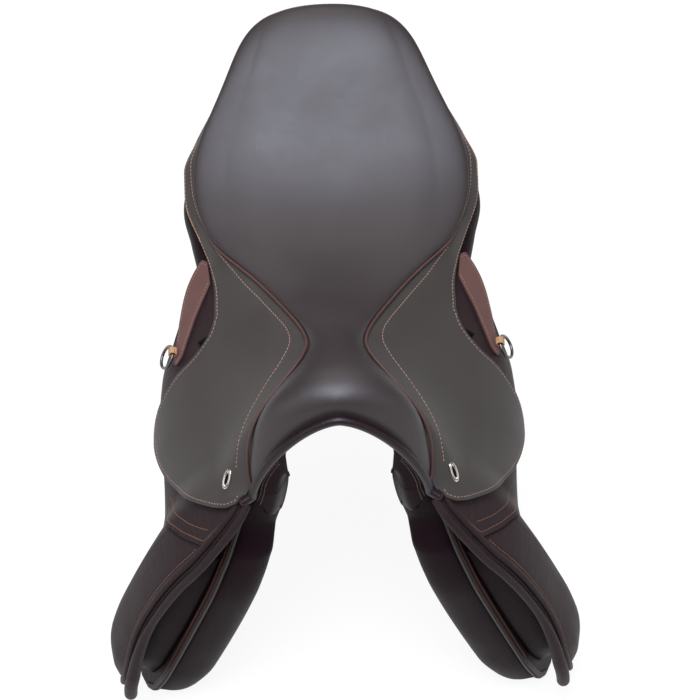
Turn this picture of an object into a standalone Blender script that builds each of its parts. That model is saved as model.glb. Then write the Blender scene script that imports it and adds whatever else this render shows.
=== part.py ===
"""Jumping saddle, close contact, 17.5 inch seat, as an assembly of separate pieces.

Metres, +Z up. The pommel points to -Y and the cantle to +Y, so +X is the horse's left.
The origin lies on the centre plane at the height where the panels bear on the horse's back.
The side pieces hang as layers on one draped surface, described by drape() below:
y runs from pommel to cantle, s down the side from the crease line that the flap and the
skirt fold on, and d out from that surface.
"""

import math

import bmesh
import bpy
import numpy as np
from mathutils import Matrix, Vector

# Thicknesses of leather, padding and metal, and the gap between touching pieces
GAP = 0.0004
LOOSE = 0.0007
COVER = 0.0025
FOAM = 0.014
FOAM_ROUND = 0.0065
FOAM_INSET = 0.0050
WEBBING = 0.0012
TREE_WALL = 0.008
SKIRT = 0.0036
FLAP = 0.0045
SWEAT_FLAP = 0.003
PATCH = 0.0018
GIRTH_STRAP = 0.0026
FACING = 0.0016
BINDING = 0.001
HEAD_PLATE = 0.003
BAR = 0.0048
CATCH = 0.003

# Seat: heights and widths that a saddler measures
TWIST_HALF = 0.0193
SEAT_HALF = 0.1345
OVERHANG = 0.0100
SEAT_FOOT = SEAT_HALF - 0.57 * OVERHANG
POMMEL_TOP = 0.158
DIP_TOP = 0.1015
CANTLE_TOP = 0.200
SEAT_FRONT = -0.206
SEAT_REAR = 0.254
DISH = 0.004

# Seat rows from pommel to cantle: middle y and z, edge x, y and z, fullness, side swell
SEAT_ROWS = [
    (SEAT_FRONT, POMMEL_TOP - 0.021, 0.0780, SEAT_FRONT - 0.012, 0.044, 1.55, 0.0),
    (SEAT_FRONT + 0.002, POMMEL_TOP - 0.012, 0.0795, SEAT_FRONT - 0.006, 0.050, 1.65, 0.0),
    (SEAT_FRONT + 0.007, POMMEL_TOP - 0.0055, 0.0806, SEAT_FRONT + 0.001, 0.058, 1.80, 0.0),
    (SEAT_FRONT + 0.016, POMMEL_TOP - 0.001, 0.0777, SEAT_FRONT + 0.011, 0.075, 2.00, 0.0),
    (-0.180, POMMEL_TOP, 0.0710, -0.1845, 0.092, 2.1, 0.0),
    (-0.170, POMMEL_TOP - 0.001, 0.0600, -0.1725, 0.106, 2.1, 0.0),
    (-0.159, POMMEL_TOP - 0.004, 0.0477, -0.1600, 0.114, 2.1, 0.0),
    (-0.146, POMMEL_TOP - 0.009, 0.0340, -0.1460, 0.118, 2.1, 0.0),
    (-0.130, POMMEL_TOP - 0.016, 0.0239, -0.1300, 0.119, 2.1, 0.0),
    (-0.115, 0.135, TWIST_HALF, -0.115, 0.118, 2.1, 0.0),
    (-0.099, 0.128, TWIST_HALF + 0.0030, -0.099, 0.115, 2.2, 0.0),
    (-0.0795, 0.121, TWIST_HALF + 0.0147, -0.0795, 0.110, 2.3, 0.0),
    (-0.055, 0.112, TWIST_HALF + 0.030, -0.055, 0.1035, 2.5, 0.0),
    (-0.034, 0.107, TWIST_HALF + 0.042, -0.034, 0.098, 2.6, 0.0),
    (0.000, DIP_TOP + 0.0005, 0.0855, 0.000, 0.093, 2.8, 0.001),
    (0.026, DIP_TOP, 0.1085, 0.026, 0.091, 2.9, 0.004),
    (0.052, DIP_TOP + 0.0035, SEAT_FOOT - 0.0093, 0.052, 0.090, 3.0, 0.8 * OVERHANG),
    (0.078, DIP_TOP + 0.0095, SEAT_FOOT - 0.0019, 0.078, 0.094, 3.0, 0.9 * OVERHANG),
    (0.105, DIP_TOP + 0.0195, SEAT_FOOT, 0.105, 0.104, 3.0, OVERHANG),
    (0.135, CANTLE_TOP - 0.063, SEAT_FOOT - 0.0069, 0.135, 0.121, 3.0, OVERHANG),
    (0.165, CANTLE_TOP - 0.043, SEAT_FOOT - 0.0225, 0.163, 0.140, 3.0, 0.9 * OVERHANG),
    (0.195, CANTLE_TOP - 0.022, SEAT_FOOT - 0.0361, 0.190, 0.156, 3.0, 0.8 * OVERHANG),
    (0.220, CANTLE_TOP - 0.007, SEAT_FOOT - 0.0465, 0.213, 0.169, 2.9, 0.7 * OVERHANG),
    (SEAT_REAR - 0.016, CANTLE_TOP, SEAT_FOOT - 0.0570, 0.229, 0.177, 2.8, 0.45 * OVERHANG),
    (SEAT_REAR - 0.006, CANTLE_TOP - 0.001, SEAT_FOOT - 0.0665, 0.239, 0.181, 2.7, 0.25 * OVERHANG),
    (SEAT_REAR - 0.001, CANTLE_TOP - 0.006, SEAT_FOOT - 0.0745, 0.245, 0.183, 2.6, 0.1 * OVERHANG),
    (SEAT_REAR, CANTLE_TOP - 0.013, SEAT_FOOT - 0.0800, 0.248, 0.184, 2.5, 0.0),
]
SEAT_COLUMNS = 6

# Crease line: where the flap and the skirt fold, from under the pommel to behind the bar
CREASE_FRONT = Vector((0.0887, -0.218, 0.0404))
CREASE_REAR = Vector((0.1120, -0.010, 0.0680))

# Drape of the side: fall of the surface below level, in degrees, at the crease and below the bend
FALL_Y = [-0.250, -0.218, -0.180, -0.118, -0.040, 0.050]
FALL_TOP = [66, 62, 56, 48, 44, 44]
FALL_LOW = [69.5, 69.5, 73, 81, 85, 85]
BEND = 0.150

# Stand-off of the flap over the knee block: most of it along y, and its share down s
STAND_Y = [-0.260, -0.230, -0.205, -0.170, -0.130, -0.070, 0.050]
STAND_MOST = [0.042, 0.047, 0.044, 0.014, 0.006, 0.006, 0.008]
STAND_S = [0.0, 0.06, 0.11, 0.16, 0.20, 0.24, 0.28, 0.32, 0.352]
STAND_SHARE = [0.0, 0.40, 0.70, 0.86, 0.92, 0.94, 0.86, 0.65, 0.32]

# Swell of the flap and the skirt over the stirrup bar and the girth buckles
SWELL_Y = [-0.205, -0.155, -0.115, -0.075, -0.020]
SWELL_MOST = [0.0, 0.007, 0.0105, 0.009, 0.0]
SWELL_S = [0.0, 0.05, 0.11, 0.17, 0.235]
SWELL_SHARE = [0.0, 0.40, 1.0, 0.45, 0.0]

# Levels of the layers, as d at the middle of each thickness
FLAP_LEVEL = -0.005
SWEAT_LEVEL = -0.0125
SKIRT_LIFT = 0.0053
SKIRT_LIFT_RUN = 0.020
HINGE_GAP = 0.0025

# Outlines of the side pieces as (s, y) down their front and their rear edges
FLAP_FRONT = [(0.003, -0.2245), (0.016, -0.2340), (0.047, -0.2440), (0.088, -0.2505), (0.140, -0.2515),
              (0.193, -0.2530), (0.240, -0.2575), (0.290, -0.2620), (0.320, -0.2620), (0.340, -0.2550),
              (0.352, -0.2400)]
FLAP_REAR = [(0.003, 0.003), (0.009, 0.013), (0.016, 0.031), (0.024, 0.031), (0.036, 0.020),
             (0.045, 0.010), (0.060, -0.008), (0.090, -0.026), (0.150, -0.040), (0.200, -0.060),
             (0.230, -0.080), (0.260, -0.108), (0.290, -0.142), (0.320, -0.182), (0.352, -0.222)]
SWEAT_FRONT = [(0.004, -0.214), (0.030, -0.226), (0.080, -0.243), (0.140, -0.250), (0.280, -0.252),
              (0.325, -0.248), (0.348, -0.235), (0.358, -0.218)]
SWEAT_REAR = [(0.004, 0.000), (0.050, -0.008), (0.100, -0.024), (0.150, -0.040), (0.200, -0.058),
              (0.250, -0.088), (0.300, -0.132), (0.340, -0.175), (0.358, -0.202)]
LOBE_FRONT = [(HINGE_GAP, -0.2205), (0.008, -0.2235), (0.021, -0.2225), (0.037, -0.2130),
              (0.062, -0.1940), (0.080, -0.1760), (0.096, -0.1560), (0.108, -0.1340), (0.112, -0.1180)]
LOBE_REAR = [(HINGE_GAP, -0.018), (0.006, -0.034), (0.013, -0.050), (0.023, -0.061), (0.036, -0.067),
             (0.054, -0.071), (0.076, -0.079), (0.095, -0.089), (0.107, -0.101), (0.112, -0.110)]
FLAP_ROWS = 17
PATCH_FRONT = [(0.022, -0.2275), (0.036, -0.2320), (0.056, -0.2370), (0.070, -0.2320), (0.088, -0.2200),
               (0.105, -0.2000), (0.122, -0.1700), (0.130, -0.1480)]
PATCH_REAR = [(0.022, -0.206), (0.036, -0.198), (0.056, -0.184), (0.076, -0.164), (0.096, -0.145),
              (0.130, -0.136)]
KEEPER_FRONT = [(0.010, 0.004), (0.018, -0.005), (0.032, -0.020), (0.045, -0.035), (0.056, -0.048),
                (0.064, -0.052), (0.070, -0.048)]
KEEPER_REAR = [(0.010, 0.022), (0.018, 0.031), (0.030, 0.026), (0.045, 0.010), (0.056, -0.006),
               (0.064, -0.022), (0.070, -0.034)]
KNEE_FRONT = [(0.085, -0.234), (0.120, -0.2395), (0.200, -0.242), (0.280, -0.240), (0.322, -0.232)]
KNEE_REAR = [(0.085, -0.200), (0.120, -0.178), (0.200, -0.170), (0.280, -0.184), (0.322, -0.208)]
THIGH_FRONT = [(0.110, -0.052), (0.130, -0.058), (0.175, -0.064), (0.190, -0.064)]
THIGH_REAR = [(0.110, -0.038), (0.130, -0.036), (0.175, -0.048), (0.190, -0.056)]
LINING_TOP = 0.072
FOREPART_LOW = 0.350
ROLL_TOP = 0.010
ROLL_FRONT = [(ROLL_TOP, -0.2135), (0.040, -0.2145), (0.052, -0.219), (0.075, -0.236), (0.140, -0.247),
              (0.280, -0.250), (0.325, -0.246), (FOREPART_LOW, -0.230)]
FOREPART_REAR = [(0.020, -0.060), (LINING_TOP, -0.060), (0.150, -0.070), (0.200, -0.088),
                 (0.250, -0.118), (0.300, -0.155), (FOREPART_LOW, -0.195)]
ROLL_WIDTH = [(ROLL_TOP, 0.016), (0.050, 0.018), (0.080, 0.040), (0.120, 0.046), (0.300, 0.046),
              (FOREPART_LOW, 0.034)]
ROLL_DOWN = [0.0, 0.02, 0.06, 0.13, 0.22, 0.34, 0.48, 0.62, 0.76, 0.87, 0.95, 1.0]
ROLL_DEPTH = [(0.020, 0.036), (0.060, 0.044), (0.110, 0.049), (0.190, 0.051), (0.280, 0.050),
              (FOREPART_LOW, 0.038)]
LINING_DEPTH = 0.008

# Skirt tail along the seat side, as (y, x, z) of its outer edge
SKIRT_TAIL = [(CREASE_REAR.y, CREASE_REAR.x, CREASE_REAR.z), (0.020, 0.1195, 0.0685),
              (0.049, 0.129, 0.071), (0.085, 0.142, 0.080), (0.124, 0.143, 0.096),
              (0.172, 0.124, 0.119), (0.200, 0.101, 0.142)]

SKIRT_COLUMNS = 5
RIM = 0.0014
SKIRT_CROWN = 0.045

# Piping and rolls
WELT_RADIUS = 0.0015
ARCH_ROLL_RADIUS = 0.0036
EDGE_ROLL_RADIUS = 0.0040
RIDGE_RADIUS = 0.0033
RIDGE_INSET = 0.0045
RIDGE_TOP = 0.014

# Tree rows: y, inner x, and how far its edge stays inside the crease or the seat's edge
TREE_ROWS = [
    (-0.190, 0.000, 0.018), (-0.178, 0.000, 0.015), (-0.166, 0.000, 0.0140), (-0.155, 0.012, 0.014),
    (-0.135, 0.018, 0.014), (-0.110, 0.024, 0.014), (-0.060, 0.030, 0.015), (0.000, 0.040, 0.019),
    (0.060, 0.052, 0.023), (0.120, 0.052, 0.018), (0.165, 0.040, 0.017), (0.190, 0.020, 0.016),
    (0.202, 0.000, 0.018), (0.218, 0.000, 0.024), (0.234, 0.000, 0.030),
]
TREE_COLUMNS = 6
WEBBING_HALF = 0.028
TREE_UNDER_SKIRT = 0.0132
TREE_DIP = 0.0018
HEAD_DEPTH = 0.0075

# Panel rows: y, centre x and z, half width, half depth, tilt in degrees
PANEL_ROWS = [
    (-0.194, 0.0680, 0.004, 0.028, 0.009, 78), (-0.187, 0.0685, 0.004, 0.038, 0.0145, 77),
    (-0.165, 0.0700, 0.005, 0.040, 0.0160, 72), (-0.130, 0.0730, 0.011, 0.042, 0.0175, 60),
    (-0.080, 0.0800, 0.021, 0.045, 0.0200, 45), (-0.030, 0.0870, 0.0285, 0.048, 0.0230, 32),
    (0.030, 0.0880, 0.033, 0.047, 0.0290, 24), (0.080, 0.0930, 0.041, 0.053, 0.0320, 19),
    (0.116, 0.0970, 0.051, 0.058, 0.0335, 17), (0.150, 0.0920, 0.067, 0.051, 0.0360, 15),
    (0.192, 0.0810, 0.094, 0.039, 0.0350, 12), (0.220, 0.0710, 0.110, 0.029, 0.0310, 10),
    (0.238, 0.0620, 0.118, 0.016, 0.0150, 8),
]
PANEL_SIDES = 16
PANEL_SQUARENESS = 2.6

# Stirrup bar: a flat forging in the flap's notch, open to the rear, with a catch at its tip
BAR_Y = -0.108
BAR_BLADE_S = (0.014, 0.026)
BAR_PLATE_S = (-0.0135, -0.004)
BAR_FRONT = -0.150
BAR_ARM = 0.012
BAR_PLATE_REAR = -0.074
BAR_REAR = -0.068
BAR_LEVEL = -0.0071
CATCH_LENGTH = 0.015
CATCH_WIDTH = 0.010
NOTCH_S = 0.034
NOTCH_Y = (-0.162, -0.044)

# Girth straps: three each side, side by side under the flap
STRAP_WIDTH = 0.025
STRAP_PITCH = 0.028
STRAP_MIDDLE_Y = -0.115
STRAP_TOP = 0.032
STRAP_LOW = 0.250
STRAP_LEVEL = -0.0091
STRAP_LIFT = 0.003

# Ring at the tip of the keeper strap, and the eyelet on the skirt
RING_AT = (-0.040, 0.063)
RING_MAJOR = 0.011
RING_MINOR = 0.0018
LOOP_HOLE = 0.0055
LOOP_WALL = 0.0012
LOOP_WIDTH = 0.007
EYELET_AT = (-0.199, 0.011)
EYELET_LONG = 0.0075
EYELET_SHORT = 0.0030
EYELET_WIRE = 0.0011

HINGE_LINE = (CREASE_REAR - CREASE_FRONT).normalized()


def smooth(at, keys, values):
    """Smooth curve through (key, value) points that doesn't swing past them."""
    at = np.asarray(at, float)
    keys = np.asarray(keys, float)
    values = np.asarray(values, float)
    step = np.diff(keys)
    rise = np.diff(values) / step
    lean = np.empty_like(values)
    inner = rise[:-1] * rise[1:]
    lean[1:-1] = np.where(inner > 0, 2 * inner / (rise[:-1] + rise[1:] + 1e-30), 0)
    lean[0] = rise[0]
    lean[-1] = rise[-1]
    i = np.clip(np.searchsorted(keys, at) - 1, 0, len(step) - 1)
    t = np.clip((at - keys[i]) / step[i], 0, 1)
    start = (2 * t**3 - 3 * t**2 + 1) * values[i] + (t**3 - 2 * t**2 + t) * step[i] * lean[i]
    end = (3 * t**2 - 2 * t**3) * values[i + 1] + (t**3 - t**2) * step[i] * lean[i + 1]
    return start + end


def along(points, at):
    """Value of an outline given as (s, y) points."""
    return smooth(at, [p[0] for p in points], [p[1] for p in points])


def ease(t):
    t = np.clip(t, 0, 1)
    return t * t * (3 - 2 * t)


def fall(y, s):
    """Angle of the draped surface below level, in radians."""
    top = smooth(y, FALL_Y, FALL_TOP)
    low = smooth(y, FALL_Y, FALL_LOW)
    return np.radians(top + (low - top) * ease(s / BEND))


def stand_off(y, s):
    """How far the flap stands out from its level over the knee block and the bar."""
    swell = smooth(y, SWELL_Y, SWELL_MOST) * smooth(s, SWELL_S, SWELL_SHARE)
    return smooth(y, STAND_Y, STAND_MOST) * smooth(s, STAND_S, STAND_SHARE) + swell


def drape(y, s, d):
    """Point of the left side: s follows the fall in the plane of y, d leaves it square."""
    y, s, d = np.broadcast_arrays(np.asarray(y, float), np.asarray(s, float), np.asarray(d, float))
    steps = (np.arange(24) + 0.5) / 24
    angles = fall(y[..., None], s[..., None] * steps)
    share = (y - CREASE_FRONT.y) / (CREASE_REAR.y - CREASE_FRONT.y)
    here = fall(y, s)
    x = CREASE_FRONT.x + (CREASE_REAR.x - CREASE_FRONT.x) * share
    z = CREASE_FRONT.z + (CREASE_REAR.z - CREASE_FRONT.z) * share
    x = x + s * np.cos(angles).mean(-1) + d * np.sin(here)
    z = z - s * np.sin(angles).mean(-1) + d * np.cos(here)
    return np.stack([x, y, z], -1)


def side_frame(y, s, level, side, rise=0.0):
    """Placement on a layer: X towards the cantle, Y up the left side or down the right, Z out."""
    step = 0.004
    ahead, behind = (Vector(drape(y + d, s, level(y + d, s))) for d in (-step, step))
    above, below = (Vector(drape(y, s + d, level(y, s + d))) for d in (-step, step))
    out = (below - above).cross(behind - ahead).normalized()
    lengthwise = (behind - ahead).normalized()
    frame = Matrix((lengthwise, out.cross(lengthwise), out)).transposed().to_4x4()
    frame.translation = Vector(drape(y, s, level(y, s))) + out * rise
    if side < 0:
        flip = Matrix.Diagonal((-1, 1, 1, 1))
        frame = flip @ frame @ Matrix.Diagonal((1, -1, 1, 1))
    return frame


def clear_scene():
    for item in list(bpy.data.objects):
        bpy.data.objects.remove(item, do_unlink=True)


def new_collection(name):
    collection = bpy.data.collections.new(name)
    bpy.context.scene.collection.children.link(collection)
    return collection


def leather(name, color, roughness):
    return finish(name, color, roughness, 0.0)


def metal(name, color, roughness):
    return finish(name, color, roughness, 1.0)


def finish(name, color, roughness, metallic):
    material = bpy.data.materials.get(name) or bpy.data.materials.new(name)
    material.use_nodes = True
    shader = material.node_tree.nodes["Principled BSDF"]
    shader.inputs["Base Color"].default_value = (*color, 1.0)
    shader.inputs["Roughness"].default_value = roughness
    shader.inputs["Metallic"].default_value = metallic
    return material


def seat_leather():
    return leather("seat leather", (0.075, 0.062, 0.058), 0.42)


def skirt_leather():
    return leather("skirt leather", (0.070, 0.062, 0.055), 0.45)


def flap_leather():
    return leather("flap leather", (0.065, 0.048, 0.046), 0.48)


def red_leather():
    return leather("red brown leather", (0.165, 0.075, 0.062), 0.5)


def panel_leather():
    return leather("panel leather", (0.030, 0.020, 0.022), 0.35)


def natural_leather():
    return leather("natural leather", (0.55, 0.33, 0.18), 0.6)


def steel():
    return metal("steel", (0.50, 0.50, 0.50), 0.35)


def nickel():
    return metal("nickel", (0.75, 0.72, 0.66), 0.22)


def mesh_piece(name, points, faces, material, closed=True):
    """Object from points and faces, with the faces of a closed body turned outwards."""
    mesh = bpy.data.meshes.new(name)
    mesh.from_pydata([tuple(map(float, p)) for p in points], [], faces)
    if closed:
        work = bmesh.new()
        work.from_mesh(mesh)
        bmesh.ops.remove_doubles(work, verts=work.verts, dist=1e-6)
        bmesh.ops.recalc_face_normals(work, faces=work.faces)
        work.to_mesh(mesh)
        work.free()
    mesh.shade_smooth()
    mesh.set_sharp_from_angle(angle=math.radians(40))
    mesh.materials.append(material)
    piece = bpy.data.objects.new(name, mesh)
    PARTS.objects.link(piece)
    return piece


def grid_faces(rows, columns, start=0, flip=False):
    faces = []
    for i in range(rows - 1):
        for j in range(columns - 1):
            a = start + i * columns + j
            face = (a, a + 1, a + columns + 1, a + columns)
            faces.append(face[::-1] if flip else face)
    return faces


def solidify(piece, thickness, offset=0.0):
    wall = piece.modifiers.new("wall", "SOLIDIFY")
    wall.thickness = thickness
    wall.offset = offset
    wall.use_even_offset = True


def mirror_halves(piece):
    mirror = piece.modifiers.new("other half", "MIRROR")
    mirror.use_clip = True
    mirror.merge_threshold = 0.0001


def mirrored(points, side):
    return np.asarray(points, float) * np.array([side, 1.0, 1.0])


def edge_spread(start, end, count):
    """Values from start to end that crowd towards both, where an outline turns."""
    t = np.linspace(0, 1, count)
    return start + (end - start) * (0.5 * t + 0.25 * (1 - np.cos(t * math.pi)))


def sheet(name, side, front, rear, level, thickness, rows, columns, material, crowd=1.0):
    """Leather sheet on the drape, between a front and a rear outline."""
    s = edge_spread(front[0][0], front[-1][0], rows)
    share = np.linspace(0, 1, columns) ** crowd
    y = along(front, s)[:, None] * (1 - share) + along(rear, s)[:, None] * share
    down = np.repeat(s[:, None], columns, 1)
    points = mirrored(drape(y, down, level(y, down)).reshape(-1, 3), side)
    piece = mesh_piece(name, points, grid_faces(rows, columns), material, closed=False)
    solidify(piece, thickness)
    return piece


def block(name, side, front, rear, base, top, rows, columns, material):
    """Padded block on the drape: level at its base, crowned towards its top."""
    s = np.linspace(front[0][0], front[-1][0], rows)
    share = 0.5 - 0.5 * np.cos(np.linspace(0, math.pi, columns))
    y = along(front, s)[:, None] * (1 - share) + along(rear, s)[:, None] * share
    down = np.repeat(s[:, None], columns, 1)
    across = 1 - np.abs(2 * np.repeat(share[None, :], rows, 0) - 1) ** 4
    lengthwise = 1 - np.abs(2 * np.linspace(0, 1, rows) - 1) ** 5
    crown = np.sqrt(across * lengthwise[:, None])
    low = base(y, down)
    high = low + 0.002 + (top(y, down) - low - 0.002) * crown
    return two_skins(name, side, y, down, low, high, material)


def two_skins(name, side, y, s, low, high, material):
    """Closed body between two grids of the drape."""
    rows, columns = y.shape
    lower = drape(y, s, low).reshape(-1, 3)
    upper = drape(y, s, high).reshape(-1, 3)
    points = mirrored(np.concatenate([lower, upper]), side)
    faces = grid_faces(rows, columns) + grid_faces(rows, columns, rows * columns, flip=True)
    rim = [j for j in range(columns)]
    rim += [i * columns + columns - 1 for i in range(1, rows)]
    rim += [(rows - 1) * columns + j for j in range(columns - 2, -1, -1)]
    rim += [i * columns for i in range(rows - 2, 0, -1)]
    for a, b in zip(rim, rim[1:] + rim[:1]):
        faces.append((a, b, b + rows * columns, a + rows * columns))
    return mesh_piece(name, points, faces, material)


def tube(name, points, radius, material, resolution=1):
    """Piping or a roll: a curve with a round section and filled ends."""
    curve = bpy.data.curves.new(name, "CURVE")
    curve.dimensions = "3D"
    curve.bevel_depth = radius
    curve.bevel_resolution = resolution
    curve.use_fill_caps = True
    line = curve.splines.new("POLY")
    line.points.add(len(points) - 1)
    for place, point in zip(line.points, points):
        place.co = (*map(float, point), 1.0)
    curve.materials.append(material)
    piece = bpy.data.objects.new(name, curve)
    PARTS.objects.link(piece)
    return piece


def flat_outline(name, loops, thickness, frame, material, collection=None):
    """Flat piece: a filled outline, with its holes, as thick as given."""
    curve = bpy.data.curves.new(name, "CURVE")
    curve.dimensions = "2D"
    curve.fill_mode = "BOTH"
    curve.extrude = thickness / 2
    for loop in loops:
        line = curve.splines.new("POLY")
        line.points.add(len(loop) - 1)
        line.use_cyclic_u = True
        for place, point in zip(line.points, loop):
            place.co = (point[0], point[1], 0.0, 1.0)
    curve.materials.append(material)
    piece = bpy.data.objects.new(name, curve)
    piece.matrix_world = frame
    (collection or PARTS).objects.link(piece)
    return piece


def rectangle(x0, x1, y0, y1):
    return [(x0, y0), (x1, y0), (x1, y1), (x0, y1)]


def loft_rings(name, rings, material):
    """Closed body through rings of equally many points, with a fan on each end."""
    count = len(rings[0])
    points = [p for ring in rings for p in ring]
    faces = []
    for i in range(len(rings) - 1):
        for j in range(count):
            a = i * count + j
            b = i * count + (j + 1) % count
            faces.append((a, b, b + count, a + count))
    for first, ring in ((0, rings[0]), ((len(rings) - 1) * count, rings[-1])):
        middle = len(points)
        points.append(tuple(np.mean(np.asarray(ring), 0)))
        for j in range(count):
            faces.append((first + j, first + (j + 1) % count, middle))
    return mesh_piece(name, points, faces, material)


def pivot(name, at, parent=None):
    """Empty on a joint's axis; pieces that move there are its children."""
    empty = bpy.data.objects.new(name, None)
    empty.empty_display_size = 0.02
    empty.location = at
    PARTS.objects.link(empty)
    if parent:
        hang(empty, parent)
    return empty


def hang(piece, parent):
    bpy.context.view_layer.update()
    piece.parent = parent
    piece.matrix_parent_inverse = parent.matrix_world.inverted()


def seat_grid(first, last, columns):
    """Half of the seat surface, from the middle to the edge, rows from pommel to cantle."""
    phi = np.linspace(0, 1, columns + 1)
    points = []
    for row in SEAT_ROWS[first:last]:
        y_mid, z_mid, x_edge, y_edge, z_edge, fullness, swell = row
        power = 2 / fullness
        out = np.sin(phi * math.pi / 2) ** power
        up = np.clip(np.cos(phi * math.pi / 2), 0, 1) ** power
        side = swell * np.sin(math.pi * np.clip(2 * phi - 1, 0, 1))
        hollow = DISH * math.exp(-(((y_mid - 0.06) / 0.08) ** 2))
        hollow = hollow * (1 - np.clip(out / 0.7, 0, 1) ** 2) ** 2
        x = x_edge * out + side
        y = y_mid + (y_edge - y_mid) * out**2
        z = z_edge + (z_mid - z_edge) * up - hollow
        points.append(np.stack([x, y, z], -1))
    return np.array(points)


def make_seat_cover():
    grid = seat_grid(0, None, SEAT_COLUMNS)
    cover = mesh_piece("seat_cover", grid.reshape(-1, 3), grid_faces(*grid.shape[:2]), seat_leather(),
                       closed=False)
    mirror_halves(cover)
    solidify(cover, COVER, offset=-1)


def inward(grid, depth):
    """Surface at a depth below a half grid whose first column lies on the centre plane."""
    lengthwise = np.gradient(grid, axis=0)
    crosswise = np.gradient(grid, axis=1)
    normal = np.cross(crosswise, lengthwise)
    normal[:, 0, 0] = 0
    normal /= np.linalg.norm(normal, axis=-1, keepdims=True)
    return grid - normal * np.asarray(depth)[..., None]


def foam_depth():
    """Depth of the foam's underside below the seat surface, from the middle to the edge."""
    phi = np.linspace(0, 1, SEAT_COLUMNS + 1)
    thin = 0.15 + 0.85 * np.clip(np.cos(phi * math.pi / 2), 0, 1) ** 0.8
    return COVER + LOOSE + FOAM * thin


def make_seat_foam():
    skin = seat_grid(0, None, SEAT_COLUMNS)
    phi = np.linspace(0, 1, SEAT_COLUMNS + 1)
    depth = COVER + LOOSE + FOAM_ROUND * phi**3
    top = inward(skin, depth)[3:-3, :-2]
    thick = FOAM * (0.02 + 0.98 * np.clip(np.cos(phi * math.pi / 2), 0, 1) ** 3)
    low = inward(skin, depth + thick)[3:-3, :-2]
    inset = FOAM_INSET * (phi[:-2] / phi[-3]) ** 2
    top[..., 0] -= inset
    low[..., 0] -= inset
    rows, columns = top.shape[:2]
    count = rows * columns
    faces = grid_faces(rows, columns) + grid_faces(rows, columns, count, flip=True)
    rim = [j for j in range(columns)]
    rim += [i * columns + columns - 1 for i in range(1, rows)]
    rim += [(rows - 1) * columns + j for j in range(columns - 2, -1, -1)]
    for a, b in zip(rim, rim[1:]):
        faces.append((b, a, a + count, b + count))
    points = np.concatenate([top.reshape(-1, 3), low.reshape(-1, 3)])
    foam = mesh_piece("seat_foam", points, faces, leather("foam", (0.55, 0.50, 0.40), 0.9), closed=False)
    mirror_halves(foam)


def make_seat_webbing():
    low = inward(seat_grid(0, None, SEAT_COLUMNS), foam_depth() + LOOSE + WEBBING / 2)[5:-5]
    share = np.linspace(0, 1, 3)
    grid = []
    for row in low:
        x = share * min(WEBBING_HALF, 0.9 * row[1, 0])
        grid.append(np.stack([x, np.interp(x, row[:, 0], row[:, 1]), np.interp(x, row[:, 0], row[:, 2])], -1))
    grid = np.array(grid)
    web = mesh_piece("seat_webbing", grid.reshape(-1, 3), grid_faces(*grid.shape[:2]),
                     leather("webbing", (0.62, 0.58, 0.48), 0.9), closed=False)
    mirror_halves(web)
    solidify(web, WEBBING)


def rolling(values, reach, pick):
    """Running minimum or mean over a window, with the ends held."""
    padded = np.pad(values, reach, mode="edge")
    windows = np.lib.stride_tricks.sliding_window_view(padded, 2 * reach + 1)
    return pick(windows, axis=-1)


def tree_section(y, x_in, x_out):
    """Middle line of the tree's wall at y: as high as the seat stack and the skirt allow."""
    deep = foam_depth() + LOOSE + WEBBING + LOOSE + TREE_WALL / 2
    low = inward(seat_grid(0, None, SEAT_COLUMNS), deep)[3:-4]
    seat_x = np.array([np.interp(y, low[:, c, 1], low[:, c, 0]) for c in range(low.shape[1])])
    seat_z = np.array([np.interp(y, low[:, c, 1], low[:, c, 2]) for c in range(low.shape[1])])
    widest = int(np.argmax(seat_x)) + 1
    seat_x, seat_z = seat_x[:widest], seat_z[:widest]
    skirt = skirt_top_grid(np.array([min(y, 0.198)]))[0]
    lean = np.gradient(skirt, axis=0)
    lean /= np.hypot(lean[:, 0], lean[:, 2])[:, None]
    under = TREE_UNDER_SKIRT + TREE_DIP * float(ease((BAR_Y - y) / 0.035))
    skirt_x = skirt[:, 0] + under * lean[:, 2]
    skirt_z = skirt[:, 2] - under * lean[:, 0]
    x = np.arange(0, 0.15, 0.001)
    under_seat = np.where(x <= seat_x[-1], np.interp(x, seat_x, seat_z), 1.0)
    under_skirt = np.where(x >= skirt_x[0] - 0.012, np.interp(x, skirt_x, skirt_z), 1.0)
    ceiling = np.minimum(under_seat, under_skirt)
    ceiling = rolling(rolling(ceiling, 2, np.min), 3, np.mean)
    at = x_in + (x_out - x_in) * np.sin(np.linspace(0, math.pi / 2, TREE_COLUMNS))
    return at, np.interp(at, x, ceiling)


def tree_row(row):
    """Section of a tree row, its edge held inside the crease or the seat's edge."""
    y, x_in, inset = row
    share = (y - CREASE_FRONT.y) / (CREASE_REAR.y - CREASE_FRONT.y)
    crease = CREASE_FRONT.x + (CREASE_REAR.x - CREASE_FRONT.x) * share
    edge = float(smooth(y, [row[3] for row in SEAT_ROWS], [row[2] for row in SEAT_ROWS]))
    back = float(ease((y + 0.010) / 0.060))
    return tree_section(y, x_in, crease * (1 - back) + edge * back - inset)


def make_tree():
    grid = []
    for row in TREE_ROWS:
        x, z = tree_row(row)
        grid.append(np.stack([x, np.full_like(x, row[0]), z], -1))
    grid = np.array(grid)
    faces = grid_faces(*grid.shape[:2])
    tree = mesh_piece("tree", grid.reshape(-1, 3), faces,
                      leather("laminated wood", (0.42, 0.27, 0.14), 0.6), closed=False)
    mirror_halves(tree)
    solidify(tree, TREE_WALL)


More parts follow.
